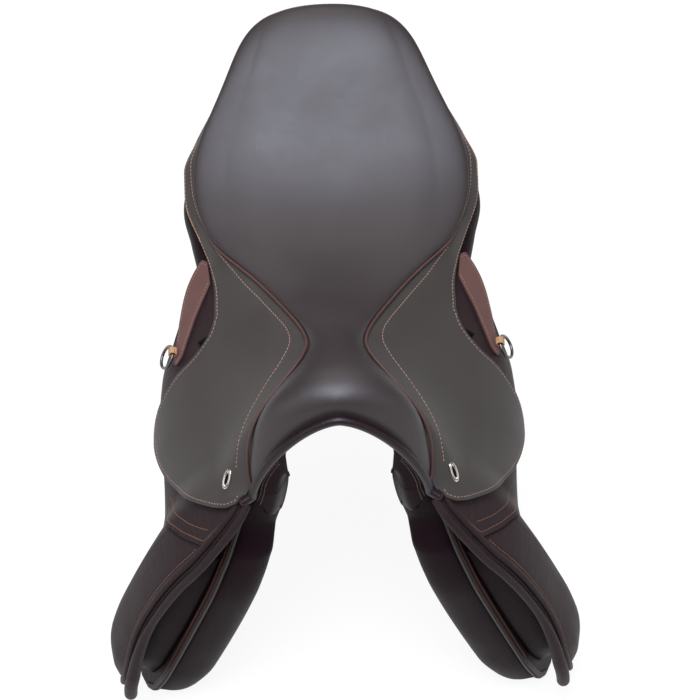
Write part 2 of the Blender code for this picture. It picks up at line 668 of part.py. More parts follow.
def arch_strip(name, rows, thickness, material):
    """Arched strip: each row gives y, a section of x and z, and how far inside it the strip lies."""
    grid = []
    for y, (x, z), inside in rows:
        lean = np.stack([np.gradient(x), np.gradient(z)], -1)
        lean /= np.linalg.norm(lean, axis=-1, keepdims=True)
        lean[0] = (1, 0)
        grid.append(np.stack([x + inside * lean[:, 1], np.full_like(x, y), z - inside * lean[:, 0]], -1))
    grid = np.array(grid)
    strip = mesh_piece(name, grid.reshape(-1, 3), grid_faces(*grid.shape[:2]), material, closed=False)
    mirror_halves(strip)
    solidify(strip, thickness)


def make_head():
    section = tree_row(TREE_ROWS[0])
    front = TREE_ROWS[0][0] - 3 * GAP
    arch_strip("head_plate", [(front - HEAD_DEPTH, section, 0), (front, section, 0)], HEAD_PLATE, steel())
    inside = TREE_WALL / 2 + LOOSE + FACING / 2 + 0.0005
    short, short_rear = ((x[:-1], z[:-1]) for x, z in (section, tree_row(TREE_ROWS[1])))
    rows = [(front - HEAD_DEPTH - 0.0065, short, inside + LOOSE), (front - 0.002, short, inside),
            (TREE_ROWS[0][0], short, inside + 3 * LOOSE), (TREE_ROWS[1][0], short_rear, inside + 5 * LOOSE)]
    arch_strip("gullet_facing", rows, FACING, panel_leather())


def arch_path(count, out=0.0):
    """Left half of the pommel arch, just ahead of the seat cover's front edge."""
    y_mid, z_mid, x_edge, y_edge, z_edge, fullness, _ = SEAT_ROWS[0]
    phi = np.linspace(0, 1, count)
    power = 2 / fullness
    across = np.sin(phi * math.pi / 2) ** power
    up = np.clip(np.cos(phi * math.pi / 2), 0, 1) ** power
    x = (x_edge - out) * across
    y = y_mid + (y_edge - y_mid) * across**2 - ARCH_ROLL_RADIUS - GAP
    z = z_edge + (z_mid - z_edge - out) * up + 0.001
    return np.stack([x, y, z], -1)


def make_arch_roll():
    left = arch_path(11)
    end = drape(-0.2262, -0.0015, 0.0)
    left = np.concatenate([left, [end]])
    path = np.concatenate([mirrored(left[:0:-1], -1), left])
    tube("arch_roll", path, ARCH_ROLL_RADIUS, panel_leather())


def foot():
    """Foot of the cover's left side, row by row: points, outward normals and upward normals."""
    grid = seat_grid(0, None, SEAT_COLUMNS)
    point = grid[:, -1]
    forward = np.gradient(point, axis=0)
    forward /= np.linalg.norm(forward, axis=-1, keepdims=True)
    out = np.cross(forward, grid[:, -2] - point)
    out /= np.linalg.norm(out, axis=-1, keepdims=True)
    return point, out, np.cross(out, forward)


def side_point(y, outward, up):
    """Point beside the foot of the cover's side, for each y of the foot."""
    point, out, rise = foot()
    keys = point[:, 1]
    base = np.stack([smooth(y, keys, point[:, k]) for k in range(3)], -1)
    away = np.stack([np.interp(y, keys, out[:, k]) for k in range(3)], -1)
    above = np.stack([np.interp(y, keys, rise[:, k]) for k in range(3)], -1)
    away /= np.linalg.norm(away, axis=-1, keepdims=True)
    above /= np.linalg.norm(above, axis=-1, keepdims=True)
    return base + away * np.reshape(outward, (-1, 1)) + above * up


def make_welt(side, label):
    away = WELT_RADIUS + GAP
    y = np.array([row[3] for row in SEAT_ROWS[:-1]])
    y = y[y > SEAT_FRONT - 0.0085]
    bulge = smooth(y, [row[3] for row in SEAT_ROWS], [row[6] for row in SEAT_ROWS])
    path = side_point(y, away + 0.05 * bulge, WELT_RADIUS + 0.0010)
    y_mid, z_mid, x_edge, y_edge, z_edge, fullness, _ = SEAT_ROWS[-1]
    phi = np.linspace(0.93, 0.02, 7)
    power = 2 / fullness
    out = np.sin(phi * math.pi / 2) ** power
    up = np.cos(phi * math.pi / 2) ** power
    rear = np.stack([x_edge * out, y_mid + (y_edge - y_mid) * out**2 + away,
                     z_edge + (z_mid - z_edge) * up + 0.0005], -1)
    path = np.concatenate([path, rear])
    tube(f"{label}_welt", mirrored(path, side), WELT_RADIUS, red_leather())


def skirt_top_grid(y):
    """Middle surface of the skirt's fixed part on the left, one row for each y."""
    inner = side_point(y, SKIRT / 2 + GAP, -SKIRT / 2)
    crease = drape(y, -HINGE_GAP * np.ones_like(y), 0 * y)
    keys = [p[0] for p in SKIRT_TAIL]
    tail = np.stack([smooth(y, keys, [p[1] for p in SKIRT_TAIL]), y,
                     smooth(y, keys, [p[2] for p in SKIRT_TAIL])], -1)
    back = ease((y - CREASE_REAR.y) / 0.03)[:, None]
    outer = crease * (1 - back) + tail * back
    outer[:, 1] = y
    share = np.linspace(0, 1, SKIRT_COLUMNS)[None, :, None]
    chord = outer - inner
    length = np.linalg.norm(chord, axis=-1, keepdims=True)
    square = np.stack([-chord[:, 2], 0 * y, chord[:, 0]], -1) / length
    sag = (SKIRT_CROWN * length * square)[:, None, :] * 4 * share * (1 - share)
    return inner[:, None, :] + chord[:, None, :] * share + sag


def make_skirt_top(side, label):
    """Fixed part of the skirt, from the welt out to the crease and along the seat side."""
    y = np.concatenate([np.linspace(SEAT_FRONT - 0.0075, -0.100, 9), np.linspace(-0.080, 0.200, 12)])
    grid = skirt_top_grid(y)
    piece = mesh_piece(f"{label}_skirt_top", mirrored(grid.reshape(-1, 3), side),
                       grid_faces(len(y), SKIRT_COLUMNS), skirt_leather(), closed=False)
    solidify(piece, SKIRT)


def flap_level(y, s):
    return FLAP_LEVEL + stand_off(y, s)


def skirt_level(y, s):
    return stand_off(y, s) + SKIRT_LIFT * ease(s / SKIRT_LIFT_RUN)


def patch_level(y, s):
    return flap_level(y, s) + FLAP / 2 + 4 * LOOSE + PATCH / 2


def keeper_level(y, s):
    return flap_level(y, s) + FLAP / 2 + LOOSE + PATCH / 2


def sweat_level(y, s):
    return SWEAT_LEVEL + 0 * y


def crease_level(y, s):
    return 0 * y


def bar_level(y, s):
    return BAR_LEVEL + 0 * y


def strap_level(y, s):
    """Girth straps hang between the sweat flap and the flap."""
    free = np.minimum(0.5 * stand_off(y, s), STRAP_LIFT)
    return STRAP_LEVEL + free * ease((s - STRAP_TOP) / 0.05)


def make_skirt(side, label, fold):
    lobe = sheet(f"{label}_skirt", side, LOBE_FRONT, LOBE_REAR, skirt_level, SKIRT, 11, 10, skirt_leather())
    hang(lobe, fold)
    y, s = EYELET_AT
    bpy.ops.mesh.primitive_torus_add(major_radius=EYELET_LONG, minor_radius=EYELET_WIRE,
                                     major_segments=14, minor_segments=5)
    eyelet = bpy.context.object
    eyelet.name = f"{label}_skirt_eyelet"
    squeeze = Matrix.Diagonal((1, EYELET_SHORT / EYELET_LONG, 1, 1))
    turn = Matrix.Rotation(math.radians(20) * side, 4, "Z")
    rise = SKIRT / 2 + EYELET_WIRE + LOOSE
    eyelet.data.transform(side_frame(y, s, skirt_level, side, rise) @ turn @ squeeze)
    eyelet.data.materials.append(nickel())
    adopt(eyelet)
    hang(eyelet, fold)


def adopt(piece):
    """Move a primitive from the active collection to the parts."""
    for collection in list(piece.users_collection):
        collection.objects.unlink(piece)
    PARTS.objects.link(piece)
    if piece.matrix_world.determinant() < 0:
        piece.data.flip_normals()


def beside(outline, s, away):
    """Line beside an outline on the drape, away from its piece where that is positive."""
    y = along(outline, s)
    lean = np.stack([np.gradient(y), np.gradient(s)], -1)
    lean /= np.linalg.norm(lean, axis=-1, keepdims=True)
    return y - away * lean[:, 1], s + away * lean[:, 0]


def make_flap(side, label, fold):
    flap = sheet(f"{label}_flap", side, FLAP_FRONT, FLAP_REAR, flap_level, FLAP, FLAP_ROWS, 11,
                 flap_leather(), crowd=1.4)
    frame = side_frame(BAR_Y, 0.0, crease_level, side)
    along_bar = [(NOTCH_Y[0] - BAR_Y), (NOTCH_Y[1] - BAR_Y)]
    notch = rectangle(along_bar[0], along_bar[1], 0.02 * side, -NOTCH_S * side)
    cutter = flat_outline(f"{label}_notch", [notch], 0.05, frame, flap_leather(), CUTTERS)
    cutter = as_mesh(cutter, CUTTERS)
    cutter.hide_render = True
    cutter.display_type = "WIRE"
    cut = flap.modifiers.new("bar notch", "BOOLEAN")
    cut.object = cutter
    cut.operation = "DIFFERENCE"
    cut.solver = "EXACT"
    hang(flap, fold)
    s = edge_spread(FLAP_FRONT[0][0], FLAP_FRONT[-1][0], FLAP_ROWS)
    s[0] += 2 * EDGE_ROLL_RADIUS
    y, s = beside(FLAP_FRONT, s, EDGE_ROLL_RADIUS + GAP)
    roll = tube(f"{label}_edge_roll", mirrored(drape(y, s, flap_level(y, s)), side),
                EDGE_ROLL_RADIUS, flap_leather())
    hang(roll, fold)
    y, s = beside(FLAP_FRONT, np.linspace(RIDGE_TOP, FLAP_FRONT[-1][0] - 0.022, 20), -RIDGE_INSET)
    above = flap_level(y, s) + FLAP / 2 + LOOSE + RIDGE_RADIUS
    ridge = tube(f"{label}_flap_ridge", mirrored(drape(y, s, above), side), RIDGE_RADIUS, flap_leather())
    hang(ridge, fold)
    hang(sheet(f"{label}_knee_patch", side, PATCH_FRONT, PATCH_REAR, patch_level, PATCH, 10, 6,
               flap_leather()), fold)
    hang(sheet(f"{label}_keeper_strap", side, KEEPER_FRONT, KEEPER_REAR, keeper_level, PATCH, 8, 4,
               red_leather()), fold)


def as_mesh(curve_object, collection):
    """Mesh copy of a filled curve, with its caps welded, in place of the curve."""
    bpy.context.view_layer.update()
    graph = bpy.context.evaluated_depsgraph_get()
    mesh = bpy.data.meshes.new_from_object(curve_object.evaluated_get(graph))
    work = bmesh.new()
    work.from_mesh(mesh)
    bmesh.ops.remove_doubles(work, verts=work.verts, dist=1e-6)
    bmesh.ops.recalc_face_normals(work, faces=work.faces)
    work.to_mesh(mesh)
    work.free()
    name = curve_object.name
    solid = bpy.data.objects.new(name, mesh)
    solid.matrix_world = curve_object.matrix_world.copy()
    bpy.data.objects.remove(curve_object, do_unlink=True)
    solid.name = name
    collection.objects.link(solid)
    return solid


def ring_frame(side):
    y, s = RING_AT
    return side_frame(y, s, keeper_level, side, PATCH / 2 + LOOSE + LOOP_WALL + LOOP_HOLE / 2)


def make_ring(side, label, fold, swing):
    frame = ring_frame(side)
    stand = frame @ Matrix.Rotation(math.radians(90), 4, "Y")
    half = LOOP_HOLE / 2 + LOOP_WALL
    hole = LOOP_HOLE / 2
    loops = [rectangle(-half, half, -half, half), rectangle(-hole, hole, -hole, hole)]
    loop = flat_outline(f"{label}_ring_loop", loops, LOOP_WIDTH, stand, natural_leather())
    hang(loop, fold)
    bpy.ops.mesh.primitive_torus_add(major_radius=RING_MAJOR, minor_radius=RING_MINOR,
                                     major_segments=18, minor_segments=6)
    ring = bpy.context.object
    ring.name = f"{label}_ring"
    ring.data.transform(frame @ Matrix.Translation((0, -RING_MAJOR * side, 0)))
    ring.data.materials.append(metal("dark metal", (0.10, 0.10, 0.10), 0.35))
    adopt(ring)
    hang(ring, swing)


def make_stirrup_bar(side, label, swing):
    frame = side_frame(BAR_Y, 0.0, bar_level, side)
    plate_in, plate_out = BAR_PLATE_S
    blade_in, blade_out = BAR_BLADE_S
    front, arm = BAR_FRONT - BAR_Y, BAR_FRONT + BAR_ARM - BAR_Y
    plate_rear, rear = BAR_PLATE_REAR - BAR_Y, BAR_REAR - BAR_Y
    outline = [(front, plate_in), (plate_rear, plate_in), (plate_rear, plate_out), (arm, plate_out),
               (arm, blade_in), (rear, blade_in), (rear, blade_out), (front + 0.004, blade_out),
               (front, blade_out - 0.004)]
    outline = [(x, -s * side) for x, s in outline]
    flat_outline(f"{label}_stirrup_bar", [outline], BAR, frame, steel())
    at_s = (blade_in + blade_out) / 2
    half = CATCH_WIDTH / 2
    start = rear + GAP
    turn = np.radians([0, 30, 60, 90, 120, 150, 180])
    tip = [(start + CATCH_LENGTH - half + half * math.sin(a), -half * math.cos(a)) for a in turn]
    tip += [(start + half - half * math.sin(a), half * math.cos(a)) for a in turn]
    tip = [(x, -(s + at_s) * side) for x, s in tip]
    catch = flat_outline(f"{label}_bar_catch", [tip], CATCH, frame, steel())
    hang(catch, swing)


def catch_axis(side):
    """Point of the catch's pivot, at the middle of its round foot."""
    frame = side_frame(BAR_Y, 0.0, bar_level, side)
    at_s = sum(BAR_BLADE_S) / 2
    return frame @ Vector((BAR_REAR - BAR_Y + GAP + CATCH_WIDTH / 2, -at_s * side, 0))


def make_girth_straps(side, label, swing):
    for place, name in ((-1, "front"), (0, "middle"), (1, "rear")):
        centre = STRAP_MIDDLE_Y + place * STRAP_PITCH
        s = np.linspace(STRAP_TOP, STRAP_LOW, 9)
        half = STRAP_WIDTH / 2
        taper = np.where(s > STRAP_LOW - 0.001, 0.55, 1.0)
        y = centre + np.stack([-half * taper, half * taper], -1)
        down = np.repeat(s[:, None], 2, 1)
        points = mirrored(drape(y, down, strap_level(y, down)).reshape(-1, 3), side)
        strap = mesh_piece(f"{label}_girth_strap_{name}", points, grid_faces(len(s), 2),
                           red_leather(), closed=False)
        solidify(strap, GIRTH_STRAP)
        hang(strap, swing)


def make_blocks(side, label):
    def base(y, s):
        return sweat_level(y, s) + SWEAT_FLAP / 2 + LOOSE

    def under_flap(y, s):
        return flap_level(y, s) - FLAP / 2 - 6 * LOOSE

    block(f"{label}_knee_block", side, KNEE_FRONT, KNEE_REAR, base, under_flap, 11, 8, panel_leather())
    block(f"{label}_thigh_block", side, THIGH_FRONT, THIGH_REAR, base, under_flap, 6, 5, panel_leather())


def make_sweat_flap(side, label):
    sheet(f"{label}_sweat_flap", side, SWEAT_FRONT, SWEAT_REAR, sweat_level, SWEAT_FLAP, 11, 7,
          flap_leather())
    s = np.linspace(0.012, SWEAT_FRONT[-1][0] - 0.012, 17)
    y = along(SWEAT_FRONT, s)[:, None] + np.array([0.0006, 0.0066])
    down = np.repeat(s[:, None], 2, 1)
    level = SWEAT_LEVEL + SWEAT_FLAP / 2 + LOOSE + BINDING / 2
    points = mirrored(drape(y, down, level + 0 * y).reshape(-1, 3), side)
    binding = mesh_piece(f"{label}_sweat_binding", points, grid_faces(len(s), 2), red_leather(),
                         closed=False)
    solidify(binding, BINDING)


def make_panel_forepart(side, label):
    """Lower front of the panel: a thick roll down its front edge and a thin lining behind."""
    down = np.array(ROLL_DOWN)[:, None]
    roll = np.array([0.0, 0.06, 0.25, 0.5, 0.75, 0.94, 1.0])
    rest = np.array([0.3, 0.65, 1.0])
    top = np.where(np.arange(len(roll) + len(rest)) < len(roll), ROLL_TOP, LINING_TOP)
    s = top + (FOREPART_LOW - top) * down
    front = along(ROLL_FRONT, s)
    rear = along(FOREPART_REAR, s)
    y = front + along(ROLL_WIDTH, s) * np.concatenate([roll, np.ones(len(rest))])
    y = y + (rear - y) * np.concatenate([0 * roll, rest])
    bump = np.concatenate([np.sqrt(np.clip(1 - (2 * roll - 1) ** 2, 0, 1)), 0 * rest])
    end = np.sqrt(1 - np.clip(1 - down / 0.05, 0, 1) ** 2) * np.sqrt(1 - np.clip(down / 0.1 - 9, 0, 1) ** 2)
    near = SWEAT_LEVEL - SWEAT_FLAP / 2 - 2 * LOOSE - 0.0005 + 0 * y
    lining = LINING_DEPTH * (0.5 + 0.5 * end) + 0 * y
    depth = lining + (along(ROLL_DEPTH, s) - LINING_DEPTH) * bump * end
    two_skins(f"{label}_panel_forepart", side, y, s, near, near - depth, panel_leather())


def make_panel(side, label):
    rings = []
    turn = np.linspace(0, 2 * math.pi, PANEL_SIDES, endpoint=False)
    power = 2 / PANEL_SQUARENESS
    across = np.sign(np.cos(turn)) * np.abs(np.cos(turn)) ** power
    up = np.sign(np.sin(turn)) * np.abs(np.sin(turn)) ** power
    for y, x_mid, z_mid, half, depth, tilt in PANEL_ROWS:
        angle = math.radians(tilt)
        x = x_mid + half * across * math.cos(angle) + depth * up * math.sin(angle)
        z = z_mid - half * across * math.sin(angle) + depth * up * math.cos(angle)
        rings.append([tuple(p) for p in mirrored(np.stack([x, np.full_like(x, y), z], -1), side)])
    loft_rings(f"{label}_panel", rings, panel_leather())


def make_front_facing(side, label):
    """Flat leather front of the panel, inside the arch roll."""
    arch = arch_path(13, out=ARCH_ROLL_RADIUS + 3 * GAP)[6:]
    outer = [(p[0], p[2]) for p in arch] + [(0.0780, 0.030), (0.0775, 0.012)]
    inner = [(0.0610, -0.022), (0.0545, 0.000), (0.0475, 0.040), (0.0455, 0.066)]
    outline = [(x * side, z) for x, z in outer + inner]
    stand = Matrix.Translation((0, SEAT_FRONT - 0.0115, 0)) @ Matrix.Rotation(math.radians(90), 4, "X")
    flat_outline(f"{label}_front_facing", [outline], FACING, stand, panel_leather())


def make_cantle_facing():
    """Leather between the seat's rear edge and the panels."""
    rows = [(row[2] - RIM, row[3] - RIM, row[4] - RIM) for row in SEAT_ROWS[20:-2]]
    y_mid, z_mid, x_edge, y_edge, z_edge, _, _ = SEAT_ROWS[-1]
    for share in (0.9, 0.6, 0.3, 0.0):
        rows.append((x_edge * share, y_mid + (y_edge - y_mid) * share**2 - RIM, z_edge - RIM))
    top = np.array(rows)
    drop = np.linspace(0.014, 0.044, len(rows))
    low = top * np.array([0.96, 1.0, 1.0]) - np.stack([0 * drop, 0.25 * drop, drop], -1)
    grid = np.stack([top, (top + low) / 2 + np.array([0, 0.001, 0]), low], 1)
    facing = mesh_piece("cantle_facing", grid.reshape(-1, 3), grid_faces(len(rows), 3),
                        panel_leather(), closed=False)
    mirror_halves(facing)
    solidify(facing, FACING)


def make_side(side, label):
    axis_point = (CREASE_FRONT.x * side, CREASE_FRONT.y, CREASE_FRONT.z)
    flap_fold = pivot(f"{label}_flap_fold", axis_point)
    skirt_fold = pivot(f"{label}_skirt_fold", axis_point, flap_fold)
    ring_swing = pivot(f"{label}_ring_swing", ring_frame(side).translation, flap_fold)
    catch_swing = pivot(f"{label}_catch_swing", catch_axis(side))
    top = Vector(mirrored(drape(STRAP_MIDDLE_Y, STRAP_TOP, strap_level(STRAP_MIDDLE_Y, STRAP_TOP)), side))
    strap_swing = pivot(f"{label}_strap_swing", top)
    make_skirt_top(side, label)
    make_welt(side, label)
    make_skirt(side, label, skirt_fold)
    make_flap(side, label, flap_fold)
    make_ring(side, label, flap_fold, ring_swing)
    make_stirrup_bar(side, label, catch_swing)
    make_girth_straps(side, label, strap_swing)
    make_blocks(side, label)
    make_sweat_flap(side, label)
    make_panel_forepart(side, label)
    make_panel(side, label)
    make_front_facing(side, label)


clear_scene()
PARTS = new_collection("jumping_saddle")
CUTTERS = new_collection("cutters")
make_seat_cover()
make_seat_foam()
make_seat_webbing()
make_tree()
make_head()
make_arch_roll()
make_cantle_facing()
for direction, word in ((1, "left"), (-1, "right")):
    make_side(direction, word)
bpy.context.view_layer.update()
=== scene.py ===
"""Looks of a close contact jumping saddle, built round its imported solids.

The side pieces hang as layers on one draped surface. On it y runs from pommel to cantle,
s down the side from the crease that the flap and the skirt fold on, and d out of it.
"""

import math

import bpy
import numpy as np
from mathutils import Matrix, Vector


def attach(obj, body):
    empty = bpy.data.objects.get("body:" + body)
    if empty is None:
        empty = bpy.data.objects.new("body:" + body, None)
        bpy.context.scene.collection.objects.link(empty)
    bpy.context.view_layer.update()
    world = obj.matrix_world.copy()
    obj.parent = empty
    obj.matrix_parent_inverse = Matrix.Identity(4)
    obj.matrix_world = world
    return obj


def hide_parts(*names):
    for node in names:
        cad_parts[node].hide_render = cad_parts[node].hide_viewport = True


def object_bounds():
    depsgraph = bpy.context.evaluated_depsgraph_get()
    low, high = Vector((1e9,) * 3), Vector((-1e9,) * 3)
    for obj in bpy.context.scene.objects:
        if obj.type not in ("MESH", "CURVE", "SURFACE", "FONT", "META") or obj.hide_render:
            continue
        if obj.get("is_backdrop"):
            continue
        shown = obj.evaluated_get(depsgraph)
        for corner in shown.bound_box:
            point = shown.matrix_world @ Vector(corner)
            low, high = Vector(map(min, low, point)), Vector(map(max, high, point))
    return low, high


bl_info = {
    "name": "Jumping saddle",
    "version": (1, 0, 0),
    "blender": (4, 5, 0),
    "location": "3D View > Sidebar > Saddle",
    "description": "Builds the leather, padding, thread and metal of a jumping saddle on its frame",
    "category": "Object",
}

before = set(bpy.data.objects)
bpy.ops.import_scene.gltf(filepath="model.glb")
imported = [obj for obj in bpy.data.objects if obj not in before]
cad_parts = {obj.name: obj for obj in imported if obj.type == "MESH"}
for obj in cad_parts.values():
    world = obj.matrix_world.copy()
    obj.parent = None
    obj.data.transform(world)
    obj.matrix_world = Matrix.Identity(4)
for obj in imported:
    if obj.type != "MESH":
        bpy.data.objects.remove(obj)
SIDES = (("left", 1.0), ("right", -1.0))


def mm(*values):
    """Array in metres of lengths or points in millimetres."""
    return 0.001 * np.array(values, float)


# Thicknesses, as the solids have them
GAP = 0.0004
SKIRT = 0.0036
FLAP = 0.0045
SWEAT_FLAP = 0.003
PATCH = 0.0018
GIRTH_STRAP = 0.0026
SEAT_LEATHER = 0.0022
FACING = 0.0016
BINDING = 0.0012
ARCH_ROLL_RADIUS = 0.0036
SEAT_FRONT = -0.206
SEAT_REAR = 0.254

# Seat rows from pommel to cantle in mm: middle y and z, edge x, y and z, fullness, side swell
SEAT_ROWS = np.array([(-206, 137, 78, -218, 44, 1.55, 0), (-204, 146, 79.5, -212, 50, 1.65, 0),
                      (-199, 152.5, 80.6, -205, 58, 1.8, 0), (-190, 157, 77.7, -195, 75, 2, 0),
                      (-180, 158, 71, -184.5, 92, 2.1, 0), (-170, 157, 60, -172.5, 106, 2.1, 0),
                      (-159, 154, 48.2, -160, 114, 2.1, 0), (-146, 149, 36.2, -146, 118, 2.1, 0),
                      (-130, 142, 27.5, -130, 119, 2.1, 0), (-115, 135, 24.6, -115, 118, 2.1, 0),
                      (-99, 128, 26.8, -99, 115, 2.2, 0), (-79.5, 121, 35.3, -79.5, 110, 2.3, 0),
                      (-55, 112, 49.3, -55, 103.5, 2.5, 0), (-34, 107, 61.3, -34, 98, 2.6, 0),
                      (0, 102, 85.5, 0, 93, 2.8, 1), (26, 101.5, 108.5, 26, 91, 2.9, 4),
                      (52, 105, 119.5, 52, 90, 3, 8), (78, 111, 126.9, 78, 94, 3, 9),
                      (105, 121, 128.8, 105, 104, 3, 10), (135, 137, 121.9, 135, 121, 3, 10),
                      (165, 157, 106.3, 163, 140, 3, 9), (195, 178, 92.7, 190, 156, 3, 8),
                      (220, 193, 82.3, 213, 169, 2.9, 7), (238, 200, 71.8, 229, 177, 2.8, 4.5),
                      (248, 199, 62.3, 239, 181, 2.7, 2.5), (253, 194, 54.3, 245, 183, 2.6, 1),
                      (254, 187, 48.8, 248, 184, 2.5, 0)]) * (0.001, 0.001, 0.001, 0.001, 0.001, 1, 0.001)
DISH = 0.004

# Draped surface: ends of its crease, its angles at the crease and below the bend for each y, and how far
# the flap stands off it, as the most for each y and the share of that for each s
CREASE_FRONT = mm(88.7, -218, 40.4)
CREASE_REAR = mm(112, -10, 68)
FALL_Y = mm(-250, -218, -180, -118, -40, 50)
FALL_TOP = [66, 62, 56, 48, 44, 44]
FALL_LOW = [69.5, 69.5, 73, 81, 85, 85]
BEND = 0.150
STAND_Y = mm(-260, -230, -205, -170, -130, -70, 50)
STAND_MOST = mm(42, 47, 44, 14, 6, 6, 8)
STAND_S = mm(0, 60, 110, 160, 200, 240, 280, 320, 352)
STAND_SHARE = [0.0, 0.40, 0.70, 0.86, 0.92, 0.95, 0.91, 0.70, 0.28]
SWELL_Y = mm(-205, -155, -115, -75, -20)
SWELL_MOST = mm(0, 7, 10.5, 9, 0)
SWELL_S = mm(0, 50, 110, 170, 235)
SWELL_SHARE = [0.0, 0.40, 1.0, 0.45, 0.0]

# Levels of the layers out of the surface, and s at which the skirt's top meets its lobe
FLAP_LEVEL = -0.005
SWEAT_LEVEL = -0.0125
STRAP_LEVEL = -0.0091
SKIRT_LIFT = 0.0053
JOIN = 0.024

# Outlines as (s, y) down the front and the rear edge
FLAP_FRONT = mm((3, -224.5), (16, -234), (47, -244), (88, -250.5), (140, -251.5), (193, -253), (240, -257),
                (280, -259), (304, -257), (323, -250), (338, -238), (346, -224))
FLAP_REAR = mm((3, 4), (9, 22), (16, 33), (24, 31), (36, 21), (45, 10), (60, -8), (90, -26), (150, -40),
               (200, -60), (230, -80), (260, -108), (290, -142), (320, -178), (346, -210))
SWEAT_FRONT = mm((4, -214), (30, -226), (80, -243), (140, -250), (280, -252), (325, -248), (348, -235),
                 (358, -218))
SWEAT_REAR = mm((4, 0), (50, -8), (100, -24), (150, -40), (200, -58), (250, -88), (300, -132), (340, -175),
                (358, -202))
LOBE_FRONT = mm((0, -222), (4.5, -226.2), (12, -226.5), (19.5, -224), (37, -213.5), (62, -194.5),
                (80, -176), (96, -156), (108, -134), (112, -118))
LOBE_REAR = mm((0, -36), (4, -45.5), (10, -53.5), (22, -61.5), (36, -67.5), (54, -71), (76, -79), (95, -89),
               (107, -101), (112, -110))
PATCH_FRONT = mm((14, -230), (22, -233), (34, -237.8), (48, -241.5), (57, -240.5), (63, -236.5),
                 (72.5, -228.8), (83, -220), (90, -211.8), (105, -196), (122, -172), (130, -152))
PATCH_ROWS = (mm((-224.5, 14), (-229.8, 24), (-234.5, 39), (-236.8, 53.5), (-234.5, 59), (-226, 69),
                 (-217.1, 79.5), (-208.1, 88), (-199.9, 96), (-185, 109), (-170, 119)),
              mm((-229.8, 48.5), (-223.9, 57), (-214.7, 68.5), (-204, 79), (-194, 88), (-179, 100),
                 (-164, 110)))
PATCH_REAR = mm((14, -210), (22, -206), (36, -198), (56, -184), (76, -164), (96, -145), (130, -136))
KEEPER_FRONT = mm((7, 6.5), (18, -5), (32.5, -19.5), (45, -35), (58, -50), (65, -52), (70, -48))
KEEPER_REAR = mm((7, 31), (14, 36.5), (22, 32.5), (36, 21.5), (45, 10.5), (52.5, -2), (61.5, -19),
                 (66, -31), (70, -43))
KNEE_FRONT = mm((85, -234), (120, -239.5), (200, -242), (280, -240), (322, -232))
KNEE_REAR = mm((85, -200), (120, -178), (200, -170), (280, -184), (322, -208))
THIGH_FRONT = mm((110, -52), (130, -58), (175, -64), (190, -64))
THIGH_REAR = mm((110, -38), (130, -36), (175, -48), (190, -56))

# Forepart of the panel: its edges as (s, y), and its roll's width and depth for each s
ROLL_TOP = 0.010
LINING_TOP = 0.072
FOREPART_LOW = 0.350
ROLL_FRONT = mm((1000 * ROLL_TOP, -213.5), (40, -214.5), (52, -219), (75, -236), (140, -247), (280, -250),
                (325, -246), (1000 * FOREPART_LOW, -230))
FOREPART_REAR = mm((20, -60), (1000 * LINING_TOP, -60), (150, -70), (200, -88), (250, -118), (300, -155),
                   (1000 * FOREPART_LOW, -195))
ROLL_WIDTH = mm((1000 * ROLL_TOP, 16), (50, 18), (80, 40), (120, 46), (300, 46), (1000 * FOREPART_LOW, 34))
ROLL_DEPTH = mm((20, 36), (60, 44), (110, 49), (190, 51), (280, 50), (1000 * FOREPART_LOW, 38))
LINING_DEPTH = 0.008

# Edge of the skirt behind the crease as (y, x, z)
SKIRT_TAIL = mm((-10, 112, 68), (4, 114, 69.5), (23, 118.2, 73.3), (40, 123.8, 75), (57, 129.8, 76.8),
                (69, 134.8, 79.5), (84, 140, 82), (98, 142.5, 85), (124, 143, 95.5), (150, 131.8, 108),
                (172, 118, 121.5), (200, 96.5, 144))

# Panel rows from front to rear: y, middle x and z, half width and half depth in mm, tilt in degrees
PANEL_ROWS = np.array([(-194, 68, 4, 28, 9, 78), (-187, 68.5, 4, 38, 14.5, 77), (-165, 70, 5, 40, 16, 72),
                       (-130, 73, 11, 42, 17.5, 60), (-80, 80, 21, 45, 20, 45), (-30, 87, 28.5, 48, 23, 32),
                       (30, 87.5, 33, 45, 29, 24), (80, 92, 41, 49, 32, 19), (116, 95, 51, 54, 33.5, 17),
                       (150, 91, 67, 49, 36, 15), (192, 81, 94, 39, 35, 12), (220, 71, 110, 29, 31, 10),
                       (238, 62, 118, 16, 15, 8)]) * (0.001, 0.001, 0.001, 0.001, 0.001, 1)
PANEL_SQUARENESS = 2.6

# Stitch row of the skirt's top as (y, share of the way out)
SKIRT_SEAM = np.array([(153.6, 0.96), (139.7, 0.7), (129.4, 0.64), (120.5, 0.6), (111.2, 0.555),
                       (95.2, 0.455), (81.2, 0.39), (62.3, 0.3), (42.4, 0.22), (19, 0.215), (-10.4, 0.245),
                       (-38.5, 0.195), (-71.5, 0.15), (-86, 0.145), (-100.7, 0.175), (-119.3, 0.265),
                       (-138.1, 0.365), (-153, 0.425), (-167.9, 0.465), (-180, 0.47), (-192, 0.505),
                       (-199, 0.61)]) * (0.001, 1)

# Stretches of the skirt top's edge, as y, that carry a painted highlight in the tan cut-edge colour, and the
# top's width there
EDGE_HIGHLIGHT_SPANS = {"left": (0.112, 0.160), "right": (0.048, 0.090)}
TOP_WIDTH = 0.045

# Flap below its fold, its cut-out over the stirrup bar, and the levels s of its ridge
FLAP_TOP = 0.003
FLAP_LENGTH = 0.343
BAR_FRONT = -0.162
BAR_REAR = -0.044
BAR_LOW = 0.034
RIDGE_S = np.linspace(0.006, 0.338, 260)

